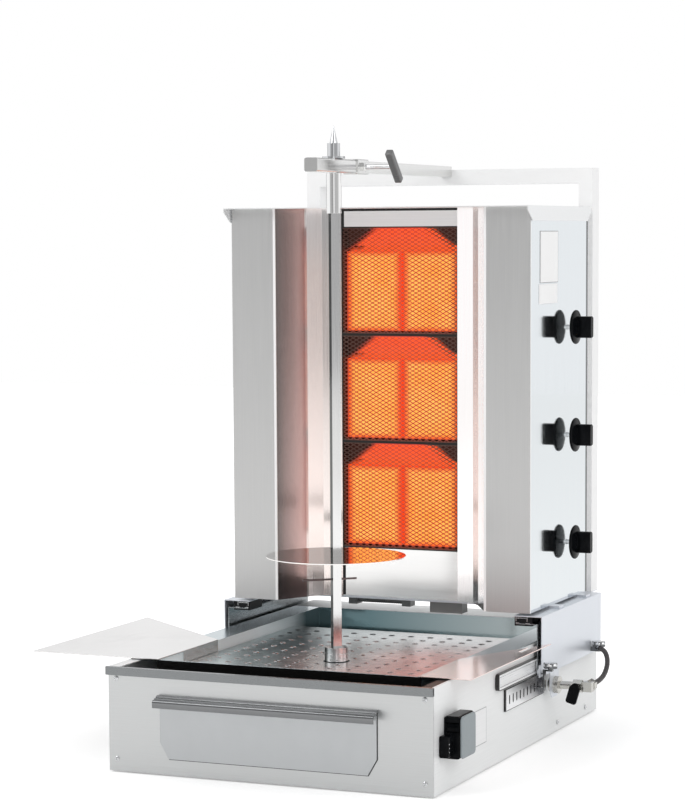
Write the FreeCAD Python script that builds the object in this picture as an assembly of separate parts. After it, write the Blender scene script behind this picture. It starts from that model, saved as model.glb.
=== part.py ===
import FreeCAD, Part
import math
import os

# Gas doner kebab grill, millimetres, +Z up, origin under the middle of the base.
# +Y points to the rear, +X to the side with the gas knobs.

os.makedirs("parts", exist_ok=True)
V = FreeCAD.Vector

# Driving sizes: base
sheet = 1.5
base_width = 540.0
base_depth = 780.0
base_top = 165.5
base_lift = 2.0
foot_height = 6.0
foot_radius = 15.0
foot_inset = 36.0
side_flange = 18.0
lip_height = 13.0
lip_overhang = 5.5
lip_side_overhang = 2.5
panel_gap = 0.5
plate_thickness = 0.6
plate_start = 154.0
plate_end = 223.0
plate_low = 45.0
plate_drop = 65.0
gland_inset = 90.0
gland_drop = 105.5
gland_radius = 8.0
vent_count = 9
vent_pitch = 14.0
vent_width = 5.0
vent_inset = 210.0
vent_low = 70.0
vent_drop = 45.5
screw_radius = 4.0
screw_height = 2.0
screw_inset = 13.5
screw_drop = 18.5
screw_rise = 21.0
side_screw_gaps = [63.0, 213.0]
side_screw_rise = 16.0
half = base_width / 2
front = -base_depth / 2
rear = base_depth / 2

# Driving sizes: tray, grid and catch shelves
tray_inset = 48.0
tray_depth = 39.5
tray_front_gap = 72.0
tray_rear_gap = 82.0
tray_rim_play = 2.0
grid_drop = 16.5
grid_rear_gap = 113.0
hole_pitch = 35.0
hole_radius = 4.5
shelf_lift = 0.3
shelf_overhang = 4.0
left_shelf_reach = 174.0
right_shelf_reach = 33.0
wall_slot_play = 2.7
shelf_gap = 60.0
left_shelf_slant = 183.0
left_hook = 124.0
right_shelf_gap = 96.0
right_shelf_slant = 192.0
right_hook = 156.0
tray_half_width = half - tray_inset
tray_front = front + tray_front_gap
tray_rear = rear - tray_rear_gap
tray_floor = base_top - tray_depth
grid_top = base_top - grid_drop
grid_rear = tray_rear - grid_rear_gap
shelf_front = tray_front - shelf_overhang

# Driving sizes: switch box
box_setback = 41.0
box_length = 59.0
box_low = 52.5
box_drop = 48.5
box_slope = 7.0
box_out = 29.0
box_cover = 3.0
lug_out = 15.0
lug_reach = 20.0
lug_low = 57.0
lug_height = 33.0
rocker_half = 7.0
rocker_length = 10.0
rocker_play = 0.5
box_front = front + box_setback
box_high = base_top - box_drop

# Driving sizes: drawer
drawer_half_width = 180.0
drawer_low = 27.0
drawer_drop = 39.5
drawer_length = 400.0
drawer_play = 3.0
corner_run = 14.5
corner_rise = 25.0
pull_reach = 21.0
drawer_high = base_top - drawer_drop

# Driving sizes: spit and its drive
spit_y = -124.5
rod_width = 14.0
rod_turn = 40.0
hub_radius = 19.0
hub_height = 23.0
disc_radius = 111.5
disc_rise = 170.0
pin_drop = 38.0
pin_ahead = 55.0
pin_behind = 34.0
pin_radius = 1.6
socket_radius = 12.0
socket_length = 63.0
shaft_radius = 8.0
gearbox_height = 42.0
gearbox_half = 42.0
gearbox_reach = 38.0
motor_radius = 19.0
motor_length = 95.0
motor_cap = 14.0
bearing_radius = 16.0
bearing_height = 5.0
bracket_half = 20.0
bracket_flange = 26.0
bracket_thickness = 3.0
disc_level = grid_top + disc_rise
pin_level = disc_level - pin_drop

# Driving sizes: carriage and what it slides on
travel = 102.0
notch_pitch = 17.0
rail_offset = 8.0
rail_flange = 37.1
wall_gap = 7.3
wall_height = 97.5
wall_rise = 45.0
wall_rear_gap = 23.0
rail_drop = 12.5
guide_height = 26.5
guide_rise = 4.0
guide_lead = 78.5
slide_play = 0.3
post_width = 25.0
post_depth = 34.0
post_gap = 20.0
post_rise = 3.5
crossbar_height = 26.0
shoe_length = 50.0
shoe_inset = 3.0
shoe_width = 30.0
shoe_lip = 2.5
bar_lead = 8.0
bar_depth = 22.0
bar_rear_gap = 70.0
rail_x = half + rail_offset
rail_inner = rail_x - rail_flange
wall_x = rail_x + wall_gap
wall_top = base_top + wall_rise
wall_low = wall_top - wall_height
wall_rear = rear - wall_rear_gap
rail_top = wall_top - rail_drop
guide_low = wall_low + guide_rise
guide_high = guide_low + guide_height
post_y = rear - post_gap

# Driving sizes: tower
tower_setback = 20.6
tower_depth = 295.5
tower_gap = 40.5
tower_height = 656.4
bar_thickness = 4.1
front_panel_width = 79.9
burner_half = 104.5
niche_depth = 92.0
niche_bends = [(0.609, 0.64), (0.389, 0.899)]
cover_overhang = 24.0
cover_tail = 7.5
cover_side = 3.8
cover_skirt = 22.5
skirt_tail = 4.0
skirt_run = 20.0
skirt_lead = 25.0
skirt_tip = 6.0
burner_rise = 83.4
cell_pitch = 181.0
cell_count = 3
divider = 4.0
tile_above = 39.0
tile_below = 4.0
tile_gap = 2.0
housing_depth = 62.0
knob_setback = 107.5
knob_rises = [97.4, 277.9, 457.9]
knob_gap = 12.0
knob_radius = 28.5
spindle_radius = 4.0
running = 0.1
tower_half = wall_x - tower_setback
tower_rear = rear - tower_gap
tower_front = tower_rear - tower_depth
tower_low = wall_top + bar_thickness
tower_high = tower_low + tower_height
cover_front = tower_front - cover_overhang
cover_rear = tower_rear + cover_tail
niche_mouth = tower_half - front_panel_width
niche_back = tower_front + niche_depth
niche = [(niche_mouth, tower_front)]
for across, deep in niche_bends:
    niche.append((burner_half + across * (niche_mouth - burner_half), tower_front + deep * niche_depth))
niche.append((burner_half, niche_back))
cell_low = tower_low + burner_rise
knob_y = tower_rear - knob_setback
knob_levels = [tower_low + rise for rise in knob_rises]
wall_front = tower_front
guide_front = wall_front - travel - guide_lead

# Driving sizes: ribbed conduit under the tower
conduit_gap = 99.5
conduit_drop = 14.5
conduit_start = -118.0
conduit_length = 84.0
rib_pitch = 4.0
rib_high = 6.5
rib_low = 5.3
gland_block = 16.0
clip_left = 42.0
clip_right = 100.0
clip_gap = 45.0
clip_depth = 27.0

# Driving sizes: arm
arm_rise = 64.5
sleeve_width = 22.0
sleeve_wall = 1.5
sleeve_round = 3.5
sleeve_ahead = 89.0
sleeve_behind = 67.5
clamp_length = 43.0
clamp_width = 26.0
tube_width = 18.6
tube_wall = 1.9
tube_start = 24.5
pin_shaft_radius = 7.0
pin_washer_radius = 18.0
pin_washer = 3.5
pin_head_radius = 10.0
pin_head = 24.0
pin_cone_radius = 6.4
pin_tip_radius = 0.6
pin_cone = 27.0
clamp_screw_radius = 4.0
clamp_reach = 66.0
handle_length = 63.0
handle_width = 12.0
handle_turn = 44.0
fork_play = 6.0
arm_level = tower_high + arm_rise
sleeve_front = spit_y - sleeve_ahead
sleeve_rear = spit_y + sleeve_behind
clamp_rear = sleeve_rear + clamp_length
tube_front = spit_y + tube_start
post_top = arm_level + post_rise
socket_low = arm_level - sleeve_width / 2 - 0.5 - socket_length

# Driving sizes: hose from the gas cock up to the fitting on the wall
hose_radius = 4.0
hose_runs = 10
hose_bulge = 4.3
hose_bend = 2.2
hose_crowding = 0.356
hose_level = 0.08
fit_out = 13.1
fit_gap = 52.0
fit_rise = 11.0

# Driving sizes: lobed hand knobs
lobe_ring = 7.5
lobe_radius = 4.0
lobe_height = 9.0


def block(x0, x1, y0, y1, z0, z1):
    return Part.makeBox(x1 - x0, y1 - y0, z1 - z0, V(x0, y0, z0))


def rod(start, axis, radius, length):
    return Part.makeCylinder(radius, length, V(*start), V(*axis))


def prism(points, sweep):
    corners = [V(*p) for p in points]
    face = Part.Face(Part.makePolygon(corners + corners[:1]))
    return face.extrude(V(*sweep))


def mirrored(shape):
    return shape.mirror(V(0, 0, 0), V(1, 0, 0))


def both_sides(shape):
    return Part.makeCompound([shape, mirrored(shape)])


def group(shapes):
    return Part.makeCompound(shapes)


def turned(shape, centre, axis, angle):
    copy = shape.copy()
    copy.rotate(V(*centre), V(*axis), angle)
    return copy


def save(name, shape):
    shape.exportStep("parts/" + name + ".step")


def hexagon_bar(centre, across, length, axis):
    corners = []
    for k in range(6):
        angle = math.radians(60 * k + 30)
        u = across * math.cos(angle)
        w = across * math.sin(angle)
        step = (0, u, w) if axis == "x" else (u, 0, w)
        corners.append(tuple(c + d for c, d in zip(centre, step)))
    sweep = (length, 0, 0) if axis == "x" else (0, length, 0)
    return prism(corners, sweep)


def lobed_knob(x, y, z):
    core = rod((x, y, z), (0, 0, 1), lobe_ring + 1, lobe_height)
    lobes = []
    for k in range(6):
        angle = math.radians(60 * k)
        centre = (x + lobe_ring * math.cos(angle), y + lobe_ring * math.sin(angle), z)
        lobes.append(rod(centre, (0, 0, 1), lobe_radius, lobe_height))
    return core.fuse(lobes).removeSplitter()


def screw_head(centre, axis, radius, height):
    head = rod(centre, axis, radius, height)
    rim = [e for e in head.Edges if abs(e.CenterOfMass.sub(V(*centre)).Length - height) < 0.01]
    return head.makeFillet(height * 0.6, rim)


# Base sheets
floor_top = foot_height + sheet
inner_side = half - sheet
side_profile = [
    (half, 0, base_lift),
    (half, 0, base_top),
    (inner_side - side_flange, 0, base_top),
    (inner_side - side_flange, 0, base_top - sheet),
    (inner_side, 0, base_top - sheet),
    (inner_side, 0, foot_height),
    (inner_side - side_flange, 0, foot_height),
    (inner_side - side_flange, 0, foot_height - sheet),
    (inner_side, 0, foot_height - sheet),
    (inner_side, 0, base_lift),
]
side_length = base_depth - 2 * sheet
base_side = prism([(x, front + sheet, z) for x, y, z in side_profile], (0, side_length, 0))
save("base_side_left", mirrored(base_side))
plate_out = half + plate_thickness
blank_plate = block(half, plate_out, front + plate_start, front + plate_end, plate_low, base_top - plate_drop)
save("base_side_right", base_side.fuse(blank_plate))
floor = block(-inner_side, inner_side, front + sheet, rear - sheet, foot_height, floor_top)
save("base_floor", floor)

opening_half = drawer_half_width - corner_run - 4
opening_low = drawer_low + 5
opening_high = drawer_high - 8
front_panel = block(-half, half, front, front + sheet, base_lift, base_top - lip_height)
front_panel = front_panel.cut(
    block(-opening_half, opening_half, front - 1, front + 3, opening_low, opening_high)
)
save("base_front_panel", front_panel)

lip_low = base_top - lip_height
lip_front = front - lip_overhang
lip_profile = [
    (lip_front, lip_low),
    (lip_front, base_top),
    (front + sheet, base_top),
    (front + sheet, lip_low),
    (front, lip_low),
    (front, base_top - sheet),
    (lip_front + sheet, base_top - sheet),
    (lip_front + sheet, lip_low),
]
lip_left = -half - lip_side_overhang
lip = prism([(lip_left, y, z) for y, z in lip_profile], (base_width + lip_side_overhang + 0.5, 0, 0))
save("base_front_lip", lip)

rear_panel = block(-half, half, rear - sheet, rear, base_lift, base_top)
gland_x = -half + gland_inset
gland_z = base_top - gland_drop
rear_panel = rear_panel.cut(rod((gland_x, rear - 3, gland_z), (0, 1, 0), gland_radius + 0.1, 6))
for i in range(vent_count):
    x = half - vent_inset + i * vent_pitch
    rear_panel = rear_panel.cut(block(x, x + vent_width, rear - 3, rear + 1, vent_low, base_top - vent_drop))
deck = block(-inner_side, inner_side, tray_rear + 2, rear, base_top, base_top + sheet)
rear_panel = rear_panel.fuse(deck).removeSplitter()
gland = rod((gland_x, rear - 8, gland_z), (0, 1, 0), gland_radius, 14)
gland = gland.fuse(rod((gland_x, rear, gland_z), (0, 1, 0), gland_radius + 4, 5))
gland = gland.cut(rod((gland_x, rear - 9, gland_z), (0, 1, 0), 4.2, 16))
save("base_rear_panel", group([rear_panel, gland]))

feet = []
for sx in (-1, 1):
    for sy in (-1, 1):
        x = sx * (half - foot_inset)
        y = sy * (rear - foot_inset)
        foot = Part.makeCone(foot_radius - 2, foot_radius, foot_height, V(x, y, 0))
        feet.append(foot)
save("rubber_feet", group(feet))

# Drip tray with its side flanges, and the perforated grid that lies in it
rim_top = base_top + sheet
tray = block(-tray_half_width, tray_half_width, tray_front, tray_rear, tray_floor, rim_top)
tray = tray.cut(
    block(
        -tray_half_width + sheet, tray_half_width - sheet,
        tray_front + sheet, tray_rear - sheet, tray_floor + sheet, rim_top + 1,
    )
)
rim_reach = half - tray_rim_play
for sx in (-1, 1):
    a, b = sorted((sx * tray_half_width, sx * rim_reach))
    tray = tray.fuse(block(a, b, tray_front, tray_rear, base_top, rim_top))
collar_radius = shaft_radius + 3.5
collar_top = grid_top + 5
tray = tray.fuse(rod((0, spit_y, tray_floor), (0, 0, 1), collar_radius, collar_top - tray_floor))
tray = tray.cut(rod((0, spit_y, tray_floor - 1), (0, 0, 1), shaft_radius + 1, 60))
save("drip_tray", tray.removeSplitter())

hook_outer = tray_half_width - sheet - 0.3
hook_inner = hook_outer - sheet
grid_half = hook_inner - 0.4
grid_front = tray_front + sheet + 0.5
hub_hole = hub_radius + 2.5
outline = Part.makePolygon([
    V(-grid_half, grid_front, 0), V(grid_half, grid_front, 0),
    V(grid_half, grid_rear, 0), V(-grid_half, grid_rear, 0), V(-grid_half, grid_front, 0),
])
holes = [Part.Wire([Part.makeCircle(hub_hole, V(0, spit_y, 0))])]
columns = int(2 * (grid_half - 12) / hole_pitch)
rows = int((grid_rear - grid_front - 24) / hole_pitch)
for i in range(columns + 1):
    for j in range(rows + 1):
        x = (i - columns / 2) * hole_pitch
        y = grid_front + 14 + j * hole_pitch
        if math.hypot(x, y - spit_y) > hub_hole + hole_radius + 3:
            holes.append(Part.Wire([Part.makeCircle(hole_radius, V(x, y, 0))]))
grid_face = Part.Face([Part.Wire(outline)] + holes)
grid = grid_face.extrude(V(0, 0, sheet))
grid.translate(V(0, 0, grid_top - sheet))
legs = []
for sy in (grid_front, grid_rear - sheet):
    legs.append(block(-grid_half, grid_half, sy, sy + sheet, tray_floor + sheet, grid_top - sheet))
grid = grid.fuse(legs)
save("drip_grid", grid.removeSplitter())

# Catch shelves hook over the tray walls and are cut back clear of the carriage
shelf_low = rim_top + shelf_lift
shelf_top = shelf_low + sheet
hook_low = grid_top + 0.6


def catch_shelf(reach, inner_rear, outer_rear, hook_start):
    plate = prism([
        (hook_inner, shelf_front, shelf_low), (reach, shelf_front, shelf_low),
        (reach, outer_rear, shelf_low), (hook_inner, inner_rear, shelf_low),
    ], (0, 0, sheet))
    hook = block(hook_inner, hook_outer, hook_start, inner_rear, hook_low, shelf_top)
    return plate.fuse(hook).removeSplitter()


left_rear = wall_front - travel - shelf_gap
left_shelf = catch_shelf(
    half + left_shelf_reach, left_rear, left_rear + left_shelf_slant, left_rear - left_hook,
)
save("catch_shelf_left", mirrored(left_shelf))
right_rear = wall_front - travel - right_shelf_gap
right_end = right_rear + right_shelf_slant
right_shelf = catch_shelf(half + right_shelf_reach, right_rear, right_end, right_rear - right_hook)
slot_front = wall_front - travel - 4
right_shelf = right_shelf.cut(block(
    wall_x - sheet - wall_slot_play, wall_x + wall_slot_play,
    slot_front, wall_front + 50, shelf_low - 1, shelf_top + 1,
))
save("catch_shelf_right", right_shelf)

# Guide bars, rail sheets and notch rack on the sides of the base
guide_x = rail_x - sheet
guide_rear = rear - 6
guide = block(half, guide_x, guide_front, guide_rear, guide_low, guide_high)
ends = [e for e in guide.Edges if abs(e.Vertexes[0].Y - guide_front) < 0.01
        and abs(e.Vertexes[-1].Y - guide_front) < 0.01 and abs(e.tangentAt(0).x) > 0.9]
guide = guide.makeFillet(7.0, ends)
groove = block(guide_x - 1.2, guide_x + 1, guide_front + 5, wall_front - 4, guide_low + 5, guide_high - 5)
guide = guide.cut(groove)
save("guide_bars", both_sides(guide))

rail_profile = [
    (rail_x, guide_low + 1), (rail_x, rail_top), (rail_inner, rail_top),
    (rail_inner, rail_top - sheet), (rail_x - sheet, rail_top - sheet), (rail_x - sheet, guide_low + 1),
]
rail = prism([(x, wall_front, z) for x, z in rail_profile], (0, guide_rear - wall_front, 0))
save("rail_sheets", both_sides(rail))

rack_thickness = 3.0
rack_high = wall_low
rack_low = rack_high - 35
latch_y = wall_front - 2
first_notch = latch_y + notch_pitch
finger_z = wall_low - 18.2
notch_count = int(round(travel / notch_pitch)) + 3
rack = block(half, half + rack_thickness, latch_y - travel - 36, latch_y + 48, rack_low, rack_high)
notch_half = 2.3
notch_reach = 5.0
for k in range(notch_count):
    y = first_notch - k * notch_pitch
    slot = block(half - 1, half + rack_thickness + 1, y - notch_half, y + notch_half,
                 finger_z - notch_reach, finger_z + notch_reach)
    for z in (finger_z - notch_reach, finger_z + notch_reach):
        slot = slot.fuse(rod((half - 1, y, z), (1, 0, 0), notch_half, rack_thickness + 2))
    rack = rack.cut(slot)
save("notch_rack", rack)

# Gearbox, motor and bearing below the tray
gearbox_top = tray_floor - bearing_height
gearbox_low = gearbox_top - gearbox_height
gearbox_rear = spit_y + gearbox_reach
gearbox = block(-gearbox_half, gearbox_half, spit_y - gearbox_reach, gearbox_rear, gearbox_low, gearbox_top)
gearbox = gearbox.makeFillet(5, [e for e in gearbox.Edges if abs(e.tangentAt(0).z) > 0.9])
gearbox = gearbox.cut(rod((0, spit_y, gearbox_low + 12), (0, 0, 1), shaft_radius + running, 60))
motor_z = gearbox_top - motor_radius - 3
motor = rod((0, gearbox_rear, motor_z), (0, 1, 0), motor_radius, motor_length)
motor = motor.fuse(rod((0, gearbox_rear + motor_length, motor_z), (0, 1, 0), motor_radius - 3, motor_cap))
bracket_z = gearbox_low - bracket_thickness
bracket_front = spit_y - bracket_half
bracket_rear = spit_y + bracket_half
bracket = block(-inner_side, inner_side, bracket_front, bracket_rear, bracket_z, gearbox_low)
for sx in (-1, 1):
    a, b = sorted((sx * inner_side, sx * (inner_side - bracket_thickness)))
    bracket = bracket.fuse(block(a, b, bracket_front, bracket_rear, bracket_z, bracket_z + bracket_flange))
bearing = rod((0, spit_y, gearbox_top), (0, 0, 1), bearing_radius, bearing_height)
bearing = bearing.cut(rod((0, spit_y, gearbox_top - 1), (0, 0, 1), shaft_radius + running, 8))
save("gear_motor", group([gearbox, motor, bearing, bracket.removeSplitter()]))

# Switch box on the right side near the front: black housing with the rocker in its front, grey cover
box_x = half + box_out
cover_x = box_x - box_cover
box_profile = [
    (half, box_low), (cover_x, box_low), (cover_x, box_high - box_slope),
    (half + box_out / 2, box_high), (half, box_high),
]
switch_box = prism([(x, box_front, z) for x, z in box_profile], (0, box_length, 0))
switch_lug = block(half, half + lug_out, box_front - lug_reach, box_front + 4, lug_low, lug_low + lug_height)
switch_lug = switch_lug.makeFillet(2.5, [e for e in switch_lug.Edges if e.CenterOfMass.x > half + lug_out - 1])
switch_box = switch_box.fuse(switch_lug)
rocker_x = half + box_out / 2
rocker_z = lug_low + lug_height + rocker_half + 3
pocket_half = rocker_half + rocker_play
switch_box = switch_box.cut(block(
    rocker_x - rocker_length - rocker_play, rocker_x + rocker_length + rocker_play,
    box_front - 1, box_front + 9, rocker_z - pocket_half, rocker_z + pocket_half,
))
box_lid = block(cover_x, box_x, box_front + 1, box_front + box_length, box_low + 1, box_high - box_slope)
save("switch_box", group([switch_box.removeSplitter(), box_lid]))
rocker_left = rocker_x - rocker_length
rocker = prism([
    (rocker_left, box_front + 4, rocker_z - rocker_half + 1),
    (rocker_left, box_front, rocker_z - rocker_half + 1),
    (rocker_left, box_front + 1, rocker_z), (rocker_left, box_front - 2, rocker_z + rocker_half - 1),
    (rocker_left, box_front + 4, rocker_z + rocker_half - 1),
], (2 * rocker_length, 0, 0))
rocker = rocker.fuse(rod((rocker_left, box_front + 4, rocker_z), (1, 0, 0), 2.5, 2 * rocker_length))
save("switch_rocker", rocker.removeSplitter())

# Screws of the base
screws = []
screw_x = half - screw_inset
for x in (-screw_x, screw_x):
    for z in (screw_rise, base_top - screw_drop):
        screws.append(screw_head((x, front, z), (0, -1, 0), screw_radius, screw_height))
for gap in side_screw_gaps:
    for sx in (-1, 1):
        start = (sx * half, rear - gap, side_screw_rise)
        screws.append(screw_head(start, (sx, 0, 0), screw_radius, screw_height))
save("base_screws", group(screws))

# Drawer with front, pull and runners
drawer_front_y = front - panel_gap - 1.8
box_half = opening_half - 3
drawer_floor = opening_low + 3
drawer_wall = bracket_z - drawer_play - drawer_floor
drawer_rear = front + 4 + drawer_length
tub = block(-box_half, box_half, drawer_front_y + 1.8, drawer_rear, drawer_floor, drawer_floor + drawer_wall)
tub = tub.cut(block(
    -box_half + sheet, box_half - sheet, drawer_front_y + 1.8 + sheet, drawer_rear - sheet,
    drawer_floor + sheet, drawer_floor + drawer_wall + 1,
))
save("drawer_box", tub)
drawer_front = prism([
    (-drawer_half_width, drawer_front_y, drawer_high),
    (drawer_half_width, drawer_front_y, drawer_high),
    (drawer_half_width, drawer_front_y, drawer_low + corner_rise),
    (drawer_half_width - corner_run, drawer_front_y, drawer_low),
    (-drawer_half_width + corner_run, drawer_front_y, drawer_low),
    (-drawer_half_width, drawer_front_y, drawer_low + corner_rise),
], (0, 1.8, 0))
save("drawer_front", drawer_front)
pull_low = drawer_high - 17
pull_front = drawer_front_y - pull_reach
pull_profile = [
    (drawer_front_y, drawer_high), (drawer_front_y - 6, drawer_high), (pull_front, drawer_high - 7),
    (pull_front, pull_low), (pull_front + 1.8, pull_low), (pull_front + 1.8, drawer_high - 8.2),
    (drawer_front_y - 5.6, drawer_high - 1.8), (drawer_front_y, drawer_high - 1.8),
]
pull_half = drawer_half_width + 3
pull = prism([(-pull_half, y, z) for y, z in pull_profile], (2 * pull_half, 0, 0))
save("drawer_handle", pull)
runner_profile = [
    (box_half + 1, floor_top), (box_half + 8, floor_top), (box_half + 8, drawer_floor + 22),
    (box_half + 1, drawer_floor + 22), (box_half + 1, drawer_floor + 20), (box_half + 6, drawer_floor + 20),
    (box_half + 6, drawer_floor - 0.4), (box_half - 12, drawer_floor - 0.4),
    (box_half - 12, drawer_floor - 2.4), (box_half + 1, drawer_floor - 2.4),
]
runner = prism([(x, front + 6, z) for x, z in runner_profile], (0, drawer_length, 0))
save("drawer_runners", both_sides(runner))

# Spit: hub on the gearbox shaft, square rod, meat disc, cross pin and top socket
hub_low = collar_top + 0.8
hub_top = grid_top + hub_height
socket_bore = 0.15
hub = rod((0, spit_y, grid_top + 1.0), (0, 0, 1), hub_radius, hub_height - 1.0)
hub = hub.cut(rod((0, spit_y, grid_top), (0, 0, 1), collar_radius + 0.8, hub_low - grid_top))
groove_ring = rod((0, spit_y, hub_top - 10), (0, 0, 1), hub_radius + 1, 1.6)
groove_ring = groove_ring.cut(rod((0, spit_y, hub_top - 10), (0, 0, 1), hub_radius - 1.2, 1.6))
hub = hub.cut(groove_ring)
rod_half = rod_width / 2
pocket = block(
    -rod_half - socket_bore, rod_half + socket_bore,
    spit_y - rod_half - socket_bore, spit_y + rod_half + socket_bore, hub_top - 12, hub_top + 1,
)
pocket = turned(pocket, (0, spit_y, 0), (0, 0, 1), rod_turn)
hub = hub.cut(pocket)
hub = hub.fuse(rod((0, spit_y, gearbox_low + 14), (0, 0, 1), shaft_radius, hub_top - 14 - gearbox_low - 14))
save("drive_hub", hub.removeSplitter())
rod_low = hub_top - 12 + socket_bore
pin_bore_low = socket_low + 22
spit = block(-rod_half, rod_half, spit_y - rod_half, spit_y + rod_half, rod_low, pin_bore_low - 1)
spit = turned(spit, (0, spit_y, 0), (0, 0, 1), rod_turn)
save("spit_rod", spit)
disc = rod((0, spit_y, disc_level - 1.5), (0, 0, 1), disc_radius, 1.5)
disc = disc.fuse(rod((0, spit_y, disc_level - 13), (0, 0, 1), 13, 12))
square = block(-rod_half, rod_half, spit_y - rod_half, spit_y + rod_half, disc_level - 20, disc_level + 5)
disc = disc.cut(turned(square, (0, spit_y, 0), (0, 0, 1), rod_turn))
save("meat_disc", disc.removeSplitter())
cross_pin = rod((-pin_ahead, spit_y, pin_level), (1, 0, 0), pin_radius, pin_ahead + pin_behind)
cross_pin = turned(cross_pin, (0, spit_y, 0), (0, 0, 1), rod_turn)
rod_shape = spit
save("cross_pin", cross_pin.cut(rod_shape))
sleeve_low_z = arm_level - sleeve_width / 2
socket_top = sleeve_low_z - 0.5
top_socket = rod((0, spit_y, socket_low), (0, 0, 1), socket_radius, socket_top - socket_low)
top_socket = top_socket.cut(rod_shape)
top_socket = top_socket.cut(rod((0, spit_y, pin_bore_low - 1), (0, 0, 1), pin_shaft_radius + running, 80))
save("top_socket", top_socket)

# Arm head: sleeve over the arm tube, clamp block, and the pin that holds the spit's top
sleeve_half = sleeve_width / 2
sleeve_in = sleeve_half - sleeve_wall
arm_sleeve = block(-sleeve_half, sleeve_half, sleeve_front, sleeve_rear,
                   arm_level - sleeve_half, arm_level + sleeve_half)
arm_sleeve = arm_sleeve.makeFillet(sleeve_round, [e for e in arm_sleeve.Edges if abs(e.tangentAt(0).y) > 0.9])
arm_sleeve = arm_sleeve.cut(block(-sleeve_in, sleeve_in, sleeve_front + 2, sleeve_rear + 1,
                                  arm_level - sleeve_in, arm_level + sleeve_in))
arm_sleeve = arm_sleeve.cut(rod((0, spit_y, arm_level - 20), (0, 0, 1), pin_shaft_radius + running, 40))
save("arm_sleeve", arm_sleeve)
clamp_half = clamp_width / 2
clamp_block = block(-clamp_half, clamp_half, sleeve_rear, clamp_rear,
                    arm_level - clamp_half + 1, arm_level + clamp_half - 1)
clamp_block = clamp_block.makeFillet(2, [e for e in clamp_block.Edges if abs(e.tangentAt(0).y) > 0.9])
clamp_block = clamp_block.cut(block(-sleeve_in, sleeve_in, sleeve_rear - 1, clamp_rear + 1,
                                    arm_level - sleeve_in, arm_level + sleeve_in))
screw_y = (sleeve_rear + clamp_rear) / 2
clamp_bore = rod((0, screw_y, arm_level), (1, 0, 0), clamp_screw_radius + running, 30)
clamp_block = clamp_block.cut(clamp_bore)
nut = prism([(clamp_half, screw_y + 7.5 * math.cos(math.radians(60 * k)),
              arm_level + 7.5 * math.sin(math.radians(60 * k))) for k in range(6)], (6, 0, 0))
clamp_block = clamp_block.fuse(nut.cut(clamp_bore))
save("clamp_block", clamp_block.removeSplitter())
pin_high = arm_level + sleeve_half
pin_low = pin_bore_low
top_pin = rod((0, spit_y, pin_low), (0, 0, 1), pin_shaft_radius, pin_high + pin_head - pin_low)
top_pin = top_pin.fuse(rod((0, spit_y, pin_high), (0, 0, 1), pin_washer_radius, pin_washer))
head_low = pin_high + pin_washer
top_pin = top_pin.fuse(rod((0, spit_y, head_low), (0, 0, 1), pin_head_radius, pin_head - pin_washer))
cone = Part.makeCone(pin_cone_radius, pin_tip_radius, pin_cone, V(0, spit_y, pin_high + pin_head))
top_pin = top_pin.fuse(cone)
save("top_pin", top_pin.removeSplitter())
screw_tip = tube_width / 2 + 0.2
clamp_screw = rod((screw_tip, screw_y, arm_level), (1, 0, 0), clamp_screw_radius, clamp_reach - screw_tip)
handle_half = handle_width / 2
t_bar = block(
    clamp_reach - handle_half, clamp_reach + handle_half, screw_y - handle_half, screw_y + handle_half,
    arm_level - handle_length / 2, arm_level + handle_length / 2,
)
t_bar = t_bar.makeFillet(2.5, t_bar.Edges)
t_bar = turned(t_bar, (0, screw_y, arm_level), (1, 0, 0), handle_turn)
save("clamp_screw", clamp_screw.fuse(t_bar).removeSplitter())

# Arm tube with a forked end that passes round the top pin, and the posts that carry it
tube_half = tube_width / 2
tube_in = tube_half - tube_wall
arm_tube = block(-tube_half, tube_half, tube_front, post_y, arm_level - tube_half, arm_level + tube_half)
arm_tube = arm_tube.cut(block(-tube_in, tube_in, tube_front - 1, post_y - 4,
                              arm_level - tube_in, arm_level + tube_in))
fork_end = spit_y + travel + pin_shaft_radius + fork_play
arm_tube = arm_tube.cut(block(-tube_in, tube_in, tube_front - 1, fork_end,
                              arm_level - tube_half - 1, arm_level + tube_half + 1))
save("arm_tube", arm_tube)
post_out = tower_half + 1.8
posts = []
for sx in (-1, 1):
    a, b = sorted((sx * post_out, sx * (post_out - post_width)))
    post = block(a, b, post_y, post_y + post_depth, wall_top, post_top)
    hollow = block(a + 2, b - 2, post_y + 2, post_y + post_depth - 2, wall_top - 1, post_top - 2)
    posts.append(post.cut(hollow))
bar_half = post_out - post_width
crossbar = block(-bar_half, bar_half, post_y, post_y + post_depth, post_top - crossbar_height, post_top)
crossbar = crossbar.cut(block(-bar_half - 1, bar_half + 1, post_y + 2, post_y + post_depth - 2,
                              post_top - crossbar_height + 2, post_top - 2))
save("rear_frame", crossbar.fuse(posts).removeSplitter())

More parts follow.
